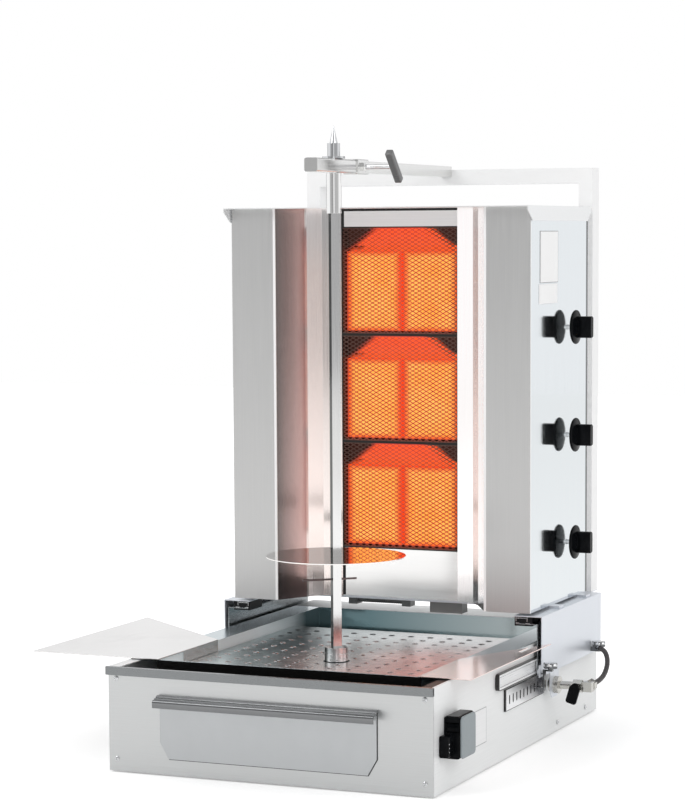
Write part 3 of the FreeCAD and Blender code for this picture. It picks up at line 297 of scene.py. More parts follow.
class Sheet(Build):
    """Brushed steel whose colour, metal share and roughness change from place to place."""

    def __init__(self, name, colour, grain, rough, metal=1.0):
        super().__init__(name)
        self.lines = self.noise(brush[grain], detail=3.0, rough=0.6)
        self.x, self.y, self.z = self.axes()
        self.nx, self.ny, self.nz = self.facing()
        self.colour = self.mix(0.0, shade(colour, 1.0), shade(colour, 1.0))
        self.metal = metal
        self.rough = rough
        self.lean = None

    def inside(self, low, high):
        """1 inside a box of the object's own space; None leaves a side open."""
        inner = None
        for value, least, most in zip((self.x, self.y, self.z), low, high):
            for kind, limit in (("GREATER_THAN", least), ("LESS_THAN", most)):
                if limit is not None:
                    part = self.maths(kind, value, limit)
                    inner = part if inner is None else self.maths("MULTIPLY", inner, part)
        return inner

    def cover(self, mask, colour, metal=1.0, rough=None):
        plain = isinstance(colour, tuple)
        self.colour = self.mix(mask, self.colour, shade(colour, 1.0) if plain else colour)
        self.metal = self.blend(mask, self.metal, metal)
        if rough is not None:
            self.rough = self.blend(mask, self.rough, rough)

    def blend(self, mask, a, b):
        change = self.maths("SUBTRACT", b, a)
        return self.maths("ADD", a, self.maths("MULTIPLY", mask, change))

    def both(self, *masks):
        product = masks[0]
        for mask in masks[1:]:
            product = self.maths("MULTIPLY", product, mask)
        return product

    def done(self, contrast=0.04, anisotropy=0.4, relief=0.12, edge=0.0006):
        tone = self.spread(self.lines, 1 - contrast, 1 + contrast, 0.25, 0.75)
        scaled = self.add("ShaderNodeVectorMath", operation="SCALE")
        self.link(self.colour, scaled.inputs[0])
        self.link(tone, scaled.inputs["Scale"])
        self.link(scaled.outputs["Vector"], self.shader.inputs["Base Color"])
        self.put(self.shader.inputs["Metallic"], self.metal)
        fine_rough = self.spread(self.lines, -0.04, 0.04, 0.3, 0.7)
        self.link(self.maths("ADD", self.rough, fine_rough), self.shader.inputs["Roughness"])
        self.shader.inputs["Anisotropic"].default_value = anisotropy
        self.relief(self.lines, brush_depth, relief, edge)
        if self.lean is not None:
            raised = self.add("ShaderNodeVectorMath", operation="MULTIPLY_ADD")
            raised.inputs[0].default_value = (0.0, 0.0, wall_lean)
            self.link(self.lean, raised.inputs[1])
            self.link(self.shader.inputs["Normal"].links[0].from_socket, raised.inputs[2])
            unit = self.add("ShaderNodeVectorMath", operation="NORMALIZE")
            self.link(raised.outputs["Vector"], unit.inputs[0])
            self.link(unit.outputs["Vector"], self.shader.inputs["Normal"])
        return self.mat


# Black and near black, painted where there is only shade
painted_black_shade = (0.004, 0.004, 0.004)
painted_soft_shade = (0.02, 0.02, 0.02)
white = (0.93, 0.935, 0.94)
bright = (1.0, 1.0, 1.0)
# Upward lean in the shading of the tray's rear wall
wall_lean = 0.14
# How far the bare plates stand out of their sheets
raised_plate = 0.0003
grid_low, grid_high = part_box("drip_grid")
tray_low, tray_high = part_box("drip_tray")
side_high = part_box("base_side_right")[1]
rack_low, rack_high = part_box("notch_rack")
drawer_low, drawer_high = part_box("drawer_front")


# Drip tray: painted shade in the chute and on the bottom; the rear and left walls carry painted light and
# shade from end to end
def tray_finish():
    b = Sheet("tray_steel", (0.55, 0.62, 0.65), "y", 0.24)
    bottom_layer, chute_layer, rim = 0.004, 0.0008, 0.0004
    across = b.spread(b.x, 0.0, 1.0, -0.12, tray_high.x - 0.02)
    back = b.both(b.maths("LESS_THAN", b.ny, -0.7), b.inside((None, 0.0, None), (None, None, None)))
    b.cover(back, b.mix(across, (0.24, 0.38, 0.41, 1), (0.92, 1.0, 1.0, 1)), 1.0, 0.1)
    b.lean = back
    left = b.both(b.maths("GREATER_THAN", b.nx, 0.7), b.inside((None, None, None), (0.0, None, None)))
    along = b.spread(b.y, 0.0, 1.0, 0.20, 0.25)
    b.cover(left, b.mix(along, (0.92, 0.98, 1.0, 1), (0.06, 0.085, 0.09, 1)), 0.0)
    bottom = b.inside((None, None, None), (None, None, tray_low.z + bottom_layer))
    b.cover(b.both(b.maths("GREATER_THAN", b.nz, 0.7), bottom), painted_soft_shade, 0.0)
    chute = b.inside((None, None, None), (None, tray_low.y + chute_layer, tray_high.z - rim))
    b.cover(chute, painted_black_shade, 0.0)
    return b.done()


# Perforated plate: painted shade on the left, and a painted warm reflection of the burners on the right
def grid_finish():
    b = Sheet("grid_steel", (0.39, 0.46, 0.47), "x", 0.26)
    light = b.spread(b.x, 0.0, 1.0, -0.12, 0.06)
    b.colour = b.mix(light, b.colour, (0.93, 0.92, 0.92, 1))
    warm = b.both(b.spread(b.x, 0.0, 1.0, 0.0, 0.12), b.spread(b.y, 1.0, 0.0, -0.08, 0.12))
    cloud = b.spread(b.noise((9, 5, 9), detail=3.0), 0.65, 1.0, 0.3, 0.6)
    b.colour = b.mix(b.both(warm, cloud), b.colour, (0.86, 0.34, 0.29, 1))
    return b.done(0.05)


# Base panels: painted shade on the flange ahead of the tray and behind the notch slots, bare white plate
rack_shade_rear = 0.100
rack_shade_low, rack_shade_high = 0.078, 0.113
blank_front, blank_rear = -0.236, -0.167
blank_low, blank_high = 0.045, 0.1005


def side_finish():
    b = Sheet("base_side_right_steel", (0.90, 0.91, 0.91), "y", 0.45, 0.2)
    skin, outer_strip = 0.002, 0.004
    flange = b.inside((None, None, side_high.z - skin), (side_high.x - outer_strip, tray_low.y, None))
    b.cover(flange, painted_black_shade, 0.0)
    low = (side_high.x - skin, rack_low.y, rack_shade_low)
    high = (None, rack_shade_rear, rack_shade_high)
    b.cover(b.inside(low, high), (0.03, 0.032, 0.034), 0.3)
    plate = b.maths("GREATER_THAN", b.x, side_high.x - raised_plate)
    b.cover(plate, (0.42, 0.43, 0.44), 0.0)
    edge = 0.0011
    low = (None, blank_front + edge, blank_low + edge)
    high = (None, blank_rear - edge, blank_high - edge)
    b.cover(b.both(plate, b.inside(low, high)), white, 0.0)
    return b.done()


def panel_finish():
    """Front panel with a painted shadow line along the sides and the foot of the drawer front."""
    b = Sheet("base_front_steel", (0.61, 0.62, 0.62), "x", 0.38)
    out_x = b.maths("SUBTRACT", b.maths("ABSOLUTE", b.x), drawer_high.x)
    out_z = b.maths("SUBTRACT", drawer_low.z, b.z)
    run, rise = 0.0145, 0.025
    shadow_line_width = 0.0013
    length = math.hypot(run, rise)
    part_x = b.maths("MULTIPLY", out_x, rise / length)
    part_z = b.maths("MULTIPLY", out_z, run / length)
    slant = b.maths("ADD", b.maths("ADD", part_x, part_z), run * rise / length)
    away = b.maths("MAXIMUM", slant, b.maths("MAXIMUM", out_x, out_z))
    below = b.maths("LESS_THAN", b.z, drawer_high.z)
    b.cover(b.both(below, b.maths("LESS_THAN", away, shadow_line_width)), painted_soft_shade, 0.0)
    return b.done()


# Slide parts: bright faces with painted shade on their edges, and in the groove of the guide bars
def guide_finish():
    b = Sheet("guide_bar_steel", (0.03, 0.03, 0.03), "y", 0.3, 0.4)
    low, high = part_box("guide_bars")
    face = b.maths("GREATER_THAN", b.maths("ABSOLUTE", b.nx), 0.7)
    edge = 0.0016
    groove_drop, groove_half = 0.0055, 0.0006
    field = b.inside((None, low.y + 2 * edge, low.z + edge), (None, high.y - edge, high.z - edge))
    b.cover(b.both(face, field), (0.90, 0.91, 0.92), 0.3)
    off_groove = b.maths("ABSOLUTE", b.maths("SUBTRACT", b.z, high.z - groove_drop))
    groove = b.maths("LESS_THAN", off_groove, groove_half)
    b.cover(b.both(face, field, groove), (0.28, 0.29, 0.30), 0.3)
    return b.done(0.03)


def rack_finish():
    b = Sheet("notch_rack_steel", (0.03, 0.03, 0.03), "y", 0.2, 0.8)
    front_edge, low_edge, top_edge = 0.004, 0.001, 0.0012
    low = (None, rack_low.y + front_edge, rack_low.z + low_edge)
    field = b.inside(low, (None, None, rack_high.z - top_edge))
    face = b.both(b.maths("GREATER_THAN", b.nx, 0.7), field)
    shadow = b.spread(b.maths("ADD", b.y, b.maths("MULTIPLY", b.z, 2.6)), 0.0, 1.0, 0.20, 0.30)
    b.cover(face, b.mix(shadow, (0.95, 0.96, 0.97, 1), (0.10, 0.10, 0.11, 1)), 0.3)
    return b.done(0.03)


# T-handle: bright stem, dark bar
def handle_finish():
    b = Sheet("clamp_screw_steel", (0.72, 0.72, 0.73), "x", 0.12)
    bar_start = 0.0598
    b.cover(b.inside((bar_start, None, None), (None, None, None)), (0.19, 0.19, 0.19), 0.8, 0.3)
    return b.done(0.04)


# Square rod and hub: bright, with a painted dark reflection on the face towards the left
def spit_finish():
    b = Sheet("spit_steel", (0.76, 0.76, 0.755), "z", 0.11)
    b.cover(b.spread(b.nx, 1.0, 0.0, -0.60, -0.35), (0.008, 0.012, 0.009), 1.0)
    return b.done(0.03)


# Top cover: plain sheet, with painted light on the inner face of its left skirt
def cover_finish():
    b = Sheet("cover_steel", (0.95, 0.96, 0.96), "x", 0.32, 0.8)
    left = b.inside((None, None, None), (0.0, None, None))
    b.cover(b.both(b.maths("GREATER_THAN", b.nx, 0.6), left), white, 0.1)
    return b.done(0.05)


# Right catch shelf: polished, warmed by the burners' reflection
def shelf_finish():
    b = Sheet("shelf_right_steel", (0.93, 0.92, 0.915), "y", 0.16)
    warm = b.spread(b.noise((14, 6, 14), detail=3.0), 0.3, 0.9, 0.35, 0.65)
    b.colour = b.mix(warm, b.colour, (0.98, 0.76, 0.71, 1))
    return b.done(0.02, 0.3, 0.05)


# Small fittings: bright on top, with painted shade on their sides and undersides
def fitting_finish():
    b = Sheet("fitting_chrome", (0.72, 0.73, 0.74), "z", 0.06)
    b.cover(b.maths("LESS_THAN", b.nz, 0.12), (0.16, 0.165, 0.17), 1.0)
    return b.done(0.02, 0.0, 0.05)


fitting_chrome = fitting_finish()
dress(fitting_chrome, "notch_latch", "hose_fitting")
dress(shelf_finish(), "catch_shelf_right")
dress(tray_finish(), "drip_tray")
dress(grid_finish(), "drip_grid")
dress(side_finish(), "base_side_right")
dress(panel_finish(), "base_front_panel")
dress(guide_finish(), "guide_bars")
dress(rack_finish(), "notch_rack")
dress(handle_finish(), "clamp_screw")
dress(spit_finish(), "spit_rod", "drive_hub")
dress(cover_finish(), "top_cover")

# Folded tower shells: grey front with painted highlights on its edges, bluish polished side, painted shade
# in a rear band, bare plates
shell_low, shell_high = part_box("tower_shell_right")
frame_low, frame_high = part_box("burner_frame")
reflector_low, reflector_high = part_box("reflectors")
plate_front, plate_rear = 0.046, 0.136
plate_head, plate_foot = 0.039, 0.123


def shell_finish():
    b = Sheet("tower_shell_steel", (0.605, 0.605, 0.60), "z", 0.36)
    fold_width, band_width, inner_edge = 0.0035, 0.009, 0.0030
    side_on = b.maths("GREATER_THAN", b.maths("ABSOLUTE", b.nx), 0.7)
    b.cover(side_on, (0.76, 0.80, 0.82), 1.0, 0.08)
    fold = b.inside((None, None, None), (None, shell_low.y + fold_width, None))
    b.cover(b.both(side_on, fold), bright, 0.0)
    band = b.inside((None, shell_high.y - band_width, None), (None, None, None))
    b.cover(b.both(side_on, band), (0.08, 0.09, 0.095), 0.5)
    inner = b.maths("LESS_THAN", b.maths("ABSOLUTE", b.x), reflector_high.x + inner_edge)
    b.cover(inner, bright, 0.0)
    plate = b.maths("GREATER_THAN", b.x, shell_high.x - raised_plate)
    b.cover(plate, (0.30, 0.31, 0.32), 0.0, 0.4)
    edge = 0.0010
    low = (None, shell_low.y + plate_front + edge, shell_high.z - plate_foot + edge)
    high = (None, shell_low.y + plate_rear - edge, shell_high.z - plate_head - edge)
    lower = b.inside((None, None, None), (None, None, shell_high.z - plate_foot - edge))
    b.cover(b.both(plate, b.maths("MAXIMUM", b.inside(low, high), lower)), bright, 0.0)
    return b.done(0.03, 0.3, 0.05)


def reflector_finish():
    """Polished sheet, with painted shade at the mouth of the niche and a painted warm glow from the burners
    towards them.
    """
    b = Sheet("reflector_steel", (1.0, 0.965, 0.955), "z", 0.12)
    first_fold = reflector_low.x + 0.0305
    mouth = b.spread(b.x, 0.0, 1.0, reflector_low.x, reflector_low.x + 0.030)
    shade_and_glow = b.mix(mouth, (0.15, 0.14, 0.137, 1), (0.70, 0.49, 0.46, 1))
    b.cover(b.inside((None, None, None), (first_fold, None, None)), shade_and_glow, 0.9)
    low_band = b.spread(b.z, 1.0, 0.0, reflector_high.z - 0.11, reflector_high.z - 0.03)
    inner = b.inside((first_fold, None, None), (-0.1, None, None))
    b.cover(b.both(inner, low_band), (1.0, 0.90, 0.86), 0.8)
    return b.done(0.03, 0.2, 0.05)


dress(shell_finish(), "tower_shell_left", "tower_shell_right")
dress(reflector_finish(), "reflectors")


# Burners: glowing plates, painted glow on the housing above them and a bright frame with painted shade on
# its edges
guard_low, guard_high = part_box("burner_guards")
cells = 3
cell_play = 0.005
cell_pitch = (guard_high.z - guard_low.z + cell_play) / cells
cell_start = guard_low.z - cell_play / 2
tile_low, tile_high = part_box("ceramic_plates")


def cell_height(b, z):
    """Height inside a burner cell, from 0 at its lower edge to 1 at its upper edge."""
    return b.maths("FRACT", b.maths("DIVIDE", b.maths("SUBTRACT", z, cell_start), cell_pitch))


tile_share = (tile_high.z - cell_start) / cell_pitch - (cells - 1)
foot_share = (tile_low.z - cell_start) / cell_pitch
# How far the glow above a plate draws in at each side, up to the top of its cell
glow_lean = 0.052


def glow():
    b = Build("ceramic_glow")
    x, y, z = b.axes()
    middle = (tile_high.x + 0.002) / 2
    out = b.maths("ABSOLUTE", b.maths("SUBTRACT", b.maths("ABSOLUTE", x), middle))
    share = cell_height(b, z)
    rim_x = b.spread(out, 0.0, 1.0, 0.036, 0.0475)
    rim_low = b.spread(share, 1.0, 0.0, foot_share, foot_share + 0.05)
    rim_high = b.spread(share, 0.0, 1.0, tile_share - 0.06, tile_share)
    rim = b.maths("MAXIMUM", rim_x, b.maths("MAXIMUM", rim_low, rim_high))
    cloud = b.spread(b.noise((26, 26, 26), detail=3.0), 0.0, 1.0, 0.3, 0.7)
    hot = b.mix(cloud, (0.98, 0.37, 0.055, 1), (0.98, 0.46, 0.100, 1))
    pores = b.add("ShaderNodeTexVoronoi", feature="F1")
    pores.inputs["Scale"].default_value = 520
    b.link(b.place, pores.inputs["Vector"])
    speck = b.spread(pores.outputs["Distance"], 0.75, 1.0, 0.0, 0.6)
    base = b.mix(0.3, b.mix(rim, hot, (0.7, 0.03, 0.004, 1)), (0.2, 0.1, 0.05, 1))
    b.link(base, b.shader.inputs["Base Color"])
    b.shader.inputs["Roughness"].default_value = 0.9
    b.shader.inputs["Specular IOR Level"].default_value = 0.1
    b.link(b.mix(rim, hot, (0.90, 0.075, 0.012, 1)), b.shader.inputs["Emission Color"])
    b.link(b.maths("MULTIPLY", speck, b.spread(rim, 1.0, 0.9)), b.shader.inputs["Emission Strength"])
    return b.mat


# Housing: dark steel with a glow painted on as emission above each plate
def glowing_housing():
    b = Build("burner_housing_steel")
    x, y, z = b.axes()
    share = cell_height(b, z)
    rise = b.spread(share, 0.0, 1.0, tile_share, 1.0)
    above = b.spread(share, 0.0, 1.0, tile_share - 0.05, tile_share - 0.03)
    corner = b.maths("ADD", b.maths("ABSOLUTE", x), b.maths("MULTIPLY", rise, glow_lean))
    inward = b.spread(corner, 1.0, 0.02, 0.094, 0.104)
    back_layer, play = 0.0015, 0.0002
    front = b.maths("LESS_THAN", y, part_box("burner_housings")[1].y - back_layer)
    inner = b.maths("LESS_THAN", b.maths("ABSOLUTE", x), guard_high.x + play)
    glow_strength = b.maths("MULTIPLY", b.maths("MULTIPLY", above, inward), b.maths("MULTIPLY", front, inner))
    soot = b.noise((60, 60, 60), detail=5.0)
    b.link(b.mix(soot, (0.02, 0.015, 0.012, 1), (0.06, 0.045, 0.035, 1)), b.shader.inputs["Base Color"])
    b.shader.inputs["Metallic"].default_value = 0.6
    b.link(b.spread(soot, 0.5, 0.65), b.shader.inputs["Roughness"])
    b.link(b.mix(rise, (1.0, 0.105, 0.018, 1), (1.0, 0.095, 0.022, 1)), b.shader.inputs["Emission Color"])
    b.link(b.maths("MULTIPLY", glow_strength, 1.12), b.shader.inputs["Emission Strength"])
    b.relief(soot, 0.0002, 0.4)
    return b.mat


def framed_plate():
    b = Sheet("burner_frame_steel", (1.0, 1.0, 1.0), "x", 0.2, 0.05)
    low_plate = b.inside((None, None, None), (None, None, cell_start))
    b.cover(low_plate, (1.0, 1.0, 0.99), 0.6, 0.14)
    window = b.inside((None, None, cell_start), (None, None, cell_start + cells * cell_pitch))
    b.cover(window, (0.012, 0.008, 0.006), 0.2, 0.5)
    left_strip, top_strip = 0.005, 0.004
    # Painted shade along the left and top edges of the frame
    b.cover(b.inside((None, None, None), (frame_low.x + left_strip, None, None)), painted_black_shade, 0.0, 0.5)
    b.cover(b.inside((None, None, frame_high.z - top_strip), (None, None, None)), painted_black_shade, 0.0, 0.5)
    return b.done(0.03)


# Guard net: dark strands with the burners' glow painted on as emission
def glowing_net():
    b = Build("guard_net_steel")
    x, y, z = b.axes()
    share = cell_height(b, z)
    rise = b.spread(share, 0.0, 1.0, tile_share, 1.0)
    corner = b.maths("ADD", b.maths("ABSOLUTE", x), b.maths("MULTIPLY", rise, glow_lean))
    inward = b.spread(corner, 1.0, 0.04, 0.090, 0.102)
    foot = b.spread(share, 0.08, 1.0, 0.01, 0.05)
    soot = b.noise((90, 90, 90), detail=5.0)
    b.link(b.mix(soot, (0.05, 0.035, 0.03, 1), (0.15, 0.11, 0.09, 1)), b.shader.inputs["Base Color"])
    b.shader.inputs["Metallic"].default_value = 0.7
    b.link(b.spread(soot, 0.4, 0.6), b.shader.inputs["Roughness"])
    b.link(b.mix(rise, (0.40, 0.026, 0.002, 1), (0.58, 0.018, 0.003, 1)), b.shader.inputs["Emission Color"])
    glow_strength = b.maths("MULTIPLY", b.maths("MULTIPLY", inward, foot), b.spread(soot, 0.7, 1.2))
    b.link(glow_strength, b.shader.inputs["Emission Strength"])
    return b.mat


dress(glow(), "ceramic_plates")
dress(glowing_housing(), "burner_housings")
dress(framed_plate(), "burner_frame")


# Corners of a square, as signs
square = ((-1, -1), (1, -1), (1, 1), (-1, 1))


# Pieces made here: a shape gathers points and faces, then becomes one object on a body
class Shape:
    def __init__(self):
        self.points = []
        self.faces = []

    def ring(self, corners):
        start = len(self.points)
        self.points.extend(corners)
        return list(range(start, start + len(corners)))

    def skin(self, rings, closed=True, caps=True):
        for a, b in zip(rings, rings[1:]):
            last = len(a) if closed else len(a) - 1
            for k in range(last):
                n = (k + 1) % len(a)
                self.faces.append((a[k], a[n], b[n], b[k]))
        if caps:
            self.faces.append(tuple(reversed(rings[0])))
            self.faces.append(tuple(rings[-1]))

    def lathe(self, profile, centre, axis, turns=56, wave=0, depth=0.0):
        """A turned shape. profile holds radius and height; wave lobes cut depth into the radius."""
        axis = Vector(axis).normalized()
        u = axis.orthogonal().normalized()
        w = axis.cross(u)
        rings = []
        for radius, height in profile:
            corners = []
            for k in range(turns):
                angle = 2 * math.pi * k / turns
                r = radius * (1 - depth * (0.5 - 0.5 * math.cos(wave * angle)))
                spoke = u * math.cos(angle) + w * math.sin(angle)
                corners.append(Vector(centre) + spoke * r + axis * height)
            rings.append(self.ring(corners))
        self.skin(rings)

    def bar(self, outline, direction, length, bevel=0.0):
        """A straight bar of a closed outline, with its ends drawn in by bevel."""
        step = Vector(direction).normalized()
        middle = sum((Vector(p) for p in outline), Vector()) / len(outline)
        rings = []
        for inset, place in ((bevel, 0.0), (0.0, bevel), (0.0, length - bevel), (bevel, length)):
            corners = []
            for p in outline:
                arm = Vector(p) - middle
                corners.append(middle + arm * (1 - inset / max(arm.length, 1e-6)) + step * place)
            rings.append(self.ring(corners))
        self.skin(rings)

    def build(self, name, material, body, gone=(), smooth=40):
        mesh = bpy.data.meshes.new(name)
        mesh.from_pydata([tuple(p) for p in self.points], [], self.faces)
        mesh.materials.append(material)
        bm = bmesh.new()
        bm.from_mesh(mesh)
        bmesh.ops.recalc_face_normals(bm, faces=bm.faces)
        for edge in bm.edges:
            if len(edge.link_faces) == 2:
                edge.smooth = edge.calc_face_angle(0) < math.radians(smooth)
        for face in bm.faces:
            face.smooth = smooth > 0
        bm.to_mesh(mesh)
        bm.free()
        piece = bpy.data.objects.new(name, mesh)
        scene.collection.objects.link(piece)
        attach(piece, body)
        if gone:
            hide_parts(*gone)
        return piece


def rounded(half_a, half_b, radius, steps=5):
    """Corner points of a rectangle with rounded corners, as pairs."""
    points = []
    for sa, sb, turn in ((1, 1, 0), (-1, 1, 90), (-1, -1, 180), (1, -1, 270)):
        for k in range(steps + 1):
            angle = math.radians(turn + 90 * k / steps)
            points.append((
                sa * (half_a - radius) + radius * math.cos(angle),
                sb * (half_b - radius) + radius * math.sin(angle),
            ))
    return points


# Expanded metal guards: zigzag strands that meet at their tips
def guard_net():
    net = Shape()
    across = 0.0118
    high = 0.0067
    strand = 0.00085
    wire, lap = 0.0005, 0.0002
    half, thick, bevel = 0.0008, 0.0009, 0.0002
    border = ((0, -half), (thick, -half), (thick, half), (0, half))
    columns = 2 * round((guard_high.x - guard_low.x) / across)
    step = (guard_high.x - guard_low.x) / columns
    panel = cell_pitch - cell_play
    rows = round(panel / high)
    rise = panel / rows / 2
    for cell in range(cells):
        base = guard_low.z + cell * cell_pitch
        for row in range(2 * rows):
            rings = []
            for k in range(columns + 1):
                x = guard_low.x + k * step
                z = base + (row + (k + row) % 2) * rise
                deep = guard_low.y + lap + (lap if k % 2 else 0.0)
                rings.append(net.ring([
                    (x, deep, z - strand), (x, deep, z + strand),
                    (x, deep + wire, z + strand), (x, deep + wire, z - strand),
                ]))
            net.skin(rings)
        for z in (base, base + panel):
            outline = [(guard_low.x, guard_low.y + y, z + h) for y, h in border]
            net.bar(outline, (1, 0, 0), guard_high.x - guard_low.x, bevel)
    return net.build("burner_guard_net", glowing_net(), "carriage", ("burner_guards",), 0)


guard_net()


# Gas knobs: turned skirt and rounded grip
grip_start = 0.0052
grip_bevel = 0.0012
for k in (1, 2, 3):
    low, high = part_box("gas_knob_%d" % k)
    middle = (low + high) / 2
    centre = Vector((low.x, middle.y, middle.z))
    radius = (high.z - low.z) / 2
    knob = Shape()
    knob.lathe([
        (radius - 0.0030, 0.0), (radius - 0.0012, 0.0004), (radius - 0.0002, 0.0016),
        (radius, 0.003), (radius - 0.0006, 0.0042), (radius - 0.003, 0.0052),
        (radius * 0.66, 0.0060), (radius * 0.5, 0.0072), (0.011, 0.0088), (0.004, 0.0092),
    ], centre, (1, 0, 0), 72)
    outline = [centre + Vector((grip_start, a, b)) for a, b in rounded(0.0070, 0.0180, 0.0042, 6)]
    knob.bar(outline, (1, 0, 0), high.x - low.x - grip_start, grip_bevel)
    knob.build("gas_knob_cap_%d" % k, black_gloss, "knob_turn_%d" % k, ("gas_knob_%d" % k,))


# Raised bright rims round the holes of the perforated plate
def hole_rims():
    rims = Shape()
    pitch, inner, outer, rise = 0.035, 0.0045, 0.0056, 0.0005
    columns, rows, first = 11, 13, grid_low.y + 0.014
    hub, hub_clear = Vector((0, -0.1245, 0)), 0.029
    sides = 20
    for i in range(columns + 1):
        for j in range(rows + 1):
            centre = Vector(((i - columns / 2) * pitch, first + j * pitch, 0))
            if (centre - hub).length < hub_clear:
                continue
            rings = []
            for radius, height in ((outer, 0.0), ((inner + outer) / 2, rise), (inner, 0.0)):
                corners = []
                for k in range(sides):
                    angle = math.tau * k / sides
                    x = centre.x + radius * math.cos(angle)
                    y = centre.y + radius * math.sin(angle)
                    corners.append((x, y, grid_high.z + height))
                rings.append(rims.ring(corners))
            rims.skin(rings, caps=False)
    rims.build("drip_grid_rims", chrome, "grid", (), 60)


hole_rims()


# Drawer pull: folded sheet with two ridges on top and a lip in front; its outline is in millimetres
pull_low, pull_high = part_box("drawer_handle")
pull_path = (
    (0, 0), (4, 0), (6, -0.3), (7.2, -1.4), (8, -2.6), (9.5, -3), (12, -3), (13.5, -3.4), (14.6, -4.6),
    (16, -5), (18.5, -5.2), (20, -6), (20.9, -7.6), (21, -9.5), (21, -16.2), (20.6, -17), (19.4, -17),
    (19.2, -16), (19.2, -9.8), (18.6, -8), (17.4, -7), (14, -6.6), (12.6, -5), (8, -4.7), (6.4, -3.6),
    (5.4, -2), (4, -1.6), (0, -1.6),
)
pull_bevel = 0.0003
pull = Shape()
pull.bar(
    [(pull_low.x, pull_high.y - out / 1000, pull_high.z + up / 1000) for out, up in pull_path],
    (1, 0, 0), pull_high.x - pull_low.x, pull_bevel,
)
pull.build("drawer_pull", pull_steel, "drawer", ("drawer_handle",), 30)


# Switch box: rounded black housing with a pocket for the rocker, its lug, and a grey cover
switch_low, switch_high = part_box("switch_box")
box_front = -0.349
box_tuck = 0.0006
lid_depth = 0.003
lid_bevel = 0.0008
lug_low, lug_top = 0.057, 0.090
lug_half = 0.0075
lug_overlap = 0.004
stud_x = 0.285
stud_setback = 0.004
stud_heights = (0.066, 0.072, 0.078)


def profile(centre, outline, y):
    """Points of an outline round a centre, both in x and z, at one y."""
    return [(centre[0] + a, y, centre[1] + c) for a, c in outline]


def switch_box():
    housing = Shape()
    start_x = side_high.x - box_tuck
    middle = ((start_x + switch_high.x - lid_depth) / 2, (switch_low.z + switch_high.z) / 2)
    half_x = middle[0] - side_high.x + box_tuck
    half_z = (switch_high.z - switch_low.z) / 2
    pocket, pocket_depth = (0.2845, 0.100), 0.009
    edge = 0.0012
    body = rounded(half_x, half_z, 0.005, 6)
    front = rounded(half_x - edge, half_z - edge, 0.005, 6)
    mouth = rounded(0.0105, 0.0075, 0.0004, 6)
    housing.skin([
        housing.ring(profile(middle, body, switch_high.y)),
        housing.ring(profile(middle, body, box_front + edge)),
        housing.ring(profile(middle, front, box_front)),
        housing.ring(profile(pocket, mouth, box_front)),
        housing.ring(profile(pocket, mouth, box_front + pocket_depth)),
    ])
    lug_middle = (start_x + lug_half, (lug_low + lug_top) / 2)
    lug = profile(lug_middle, rounded(lug_half, (lug_top - lug_low) / 2, 0.003, 5), switch_low.y)
    housing.bar(lug, (0, 1, 0), box_front + lug_overlap - switch_low.y, edge)
    housing.build("switch_housing", black_gloss, "base", ("switch_box",), 35)
    lid = Shape()
    middle_y = (box_front + switch_high.y) / 2
    face = rounded((switch_high.y - box_front) / 2 - 0.0005, half_z - 0.0005, 0.007, 7)
    outline = [(switch_high.x - lid_depth, middle_y + a, middle[1] + c) for a, c in face]
    lid.bar(outline, (1, 0, 0), lid_depth, lid_bevel)
    lid.build("switch_cover", lid_plastic, "base", (), 35)
    studs = Shape()
    dome = [(0.0011, 0.0), (0.0009, 0.0004), (0.0004, 0.0006)]
    for z in stud_heights:
        studs.lathe(dome, (stud_x, switch_low.y + stud_setback, z), (1, 0, 0), 16)
    studs.build("switch_lug_studs", chrome, "base", (), 60)


switch_box()


# Folded clips on the slide shoes, each as start across, middle height, width and height
clip_parts = (
    (0.002, 0.0115, 0.0012, 0.0085),
    (0.021, 0.0115, 0.0012, 0.0085),
    (0.002, 0.0045, 0.006, 0.001),
    (0.019, 0.0045, 0.007, 0.001),
    (0.002, 0.0128, 0.020, 0.0009),
)
clip_thick, clip_bevel = 0.0008, 0.0002
clip_start = 0.030


def shoe_clips():
    clips = Shape()
    shoe_low, shoe_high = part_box("slide_shoes")
    inner = shoe_high.x - clip_start
    for way in (-1, 1):
        for a, c, wide, tall in clip_parts:
            x = way * (inner + a + wide / 2)
            z = shoe_low.z + c
            outline = [(x + s * wide / 2, shoe_low.y, z + t * tall / 2) for s, t in square]
            clips.bar(outline, (0, -1, 0), clip_thick, clip_bevel)
    clips.build("slide_shoe_clips", chrome, "carriage", (), 0)


shoe_clips()


# Pan head screws with a cross recess, whose sizes are shares of the head's
recess_depth, recess_half, recess_reach = 0.45, 0.13, 0.62
edge_share = 0.92
tip_share = 0.02


def pan_head(shape, centre, axis, radius, height, spin):
    axis = Vector(axis)
    u = axis.orthogonal().normalized()
    w = axis.cross(u)
    turns, levels = 40, 12
    rings = []
    for j in range(levels + 1):
        share = 1 - j / levels
        dome = height * math.sqrt(max(0.0, 1 - (edge_share * share) ** 2))
        corners = []
        for k in range(turns):
            angle = 2 * math.pi * k / turns
            a = share * math.cos(angle + spin)
            b = share * math.sin(angle + spin)
            in_cross = min(abs(a), abs(b)) < recess_half and share < recess_reach
            sunk = recess_depth * height if in_cross else 0.0
            flat = u * math.cos(angle) + w * math.sin(angle)
            corners.append(Vector(centre) + flat * radius * max(share, tip_share) + axis * (dome - sunk))
        rings.append(shape.ring(corners))
    foot = []
    for k in range(turns):
        angle = 2 * math.pi * k / turns
        foot.append(Vector(centre) + (u * math.cos(angle) + w * math.sin(angle)) * radius)
    shape.skin([shape.ring(foot)] + rings)


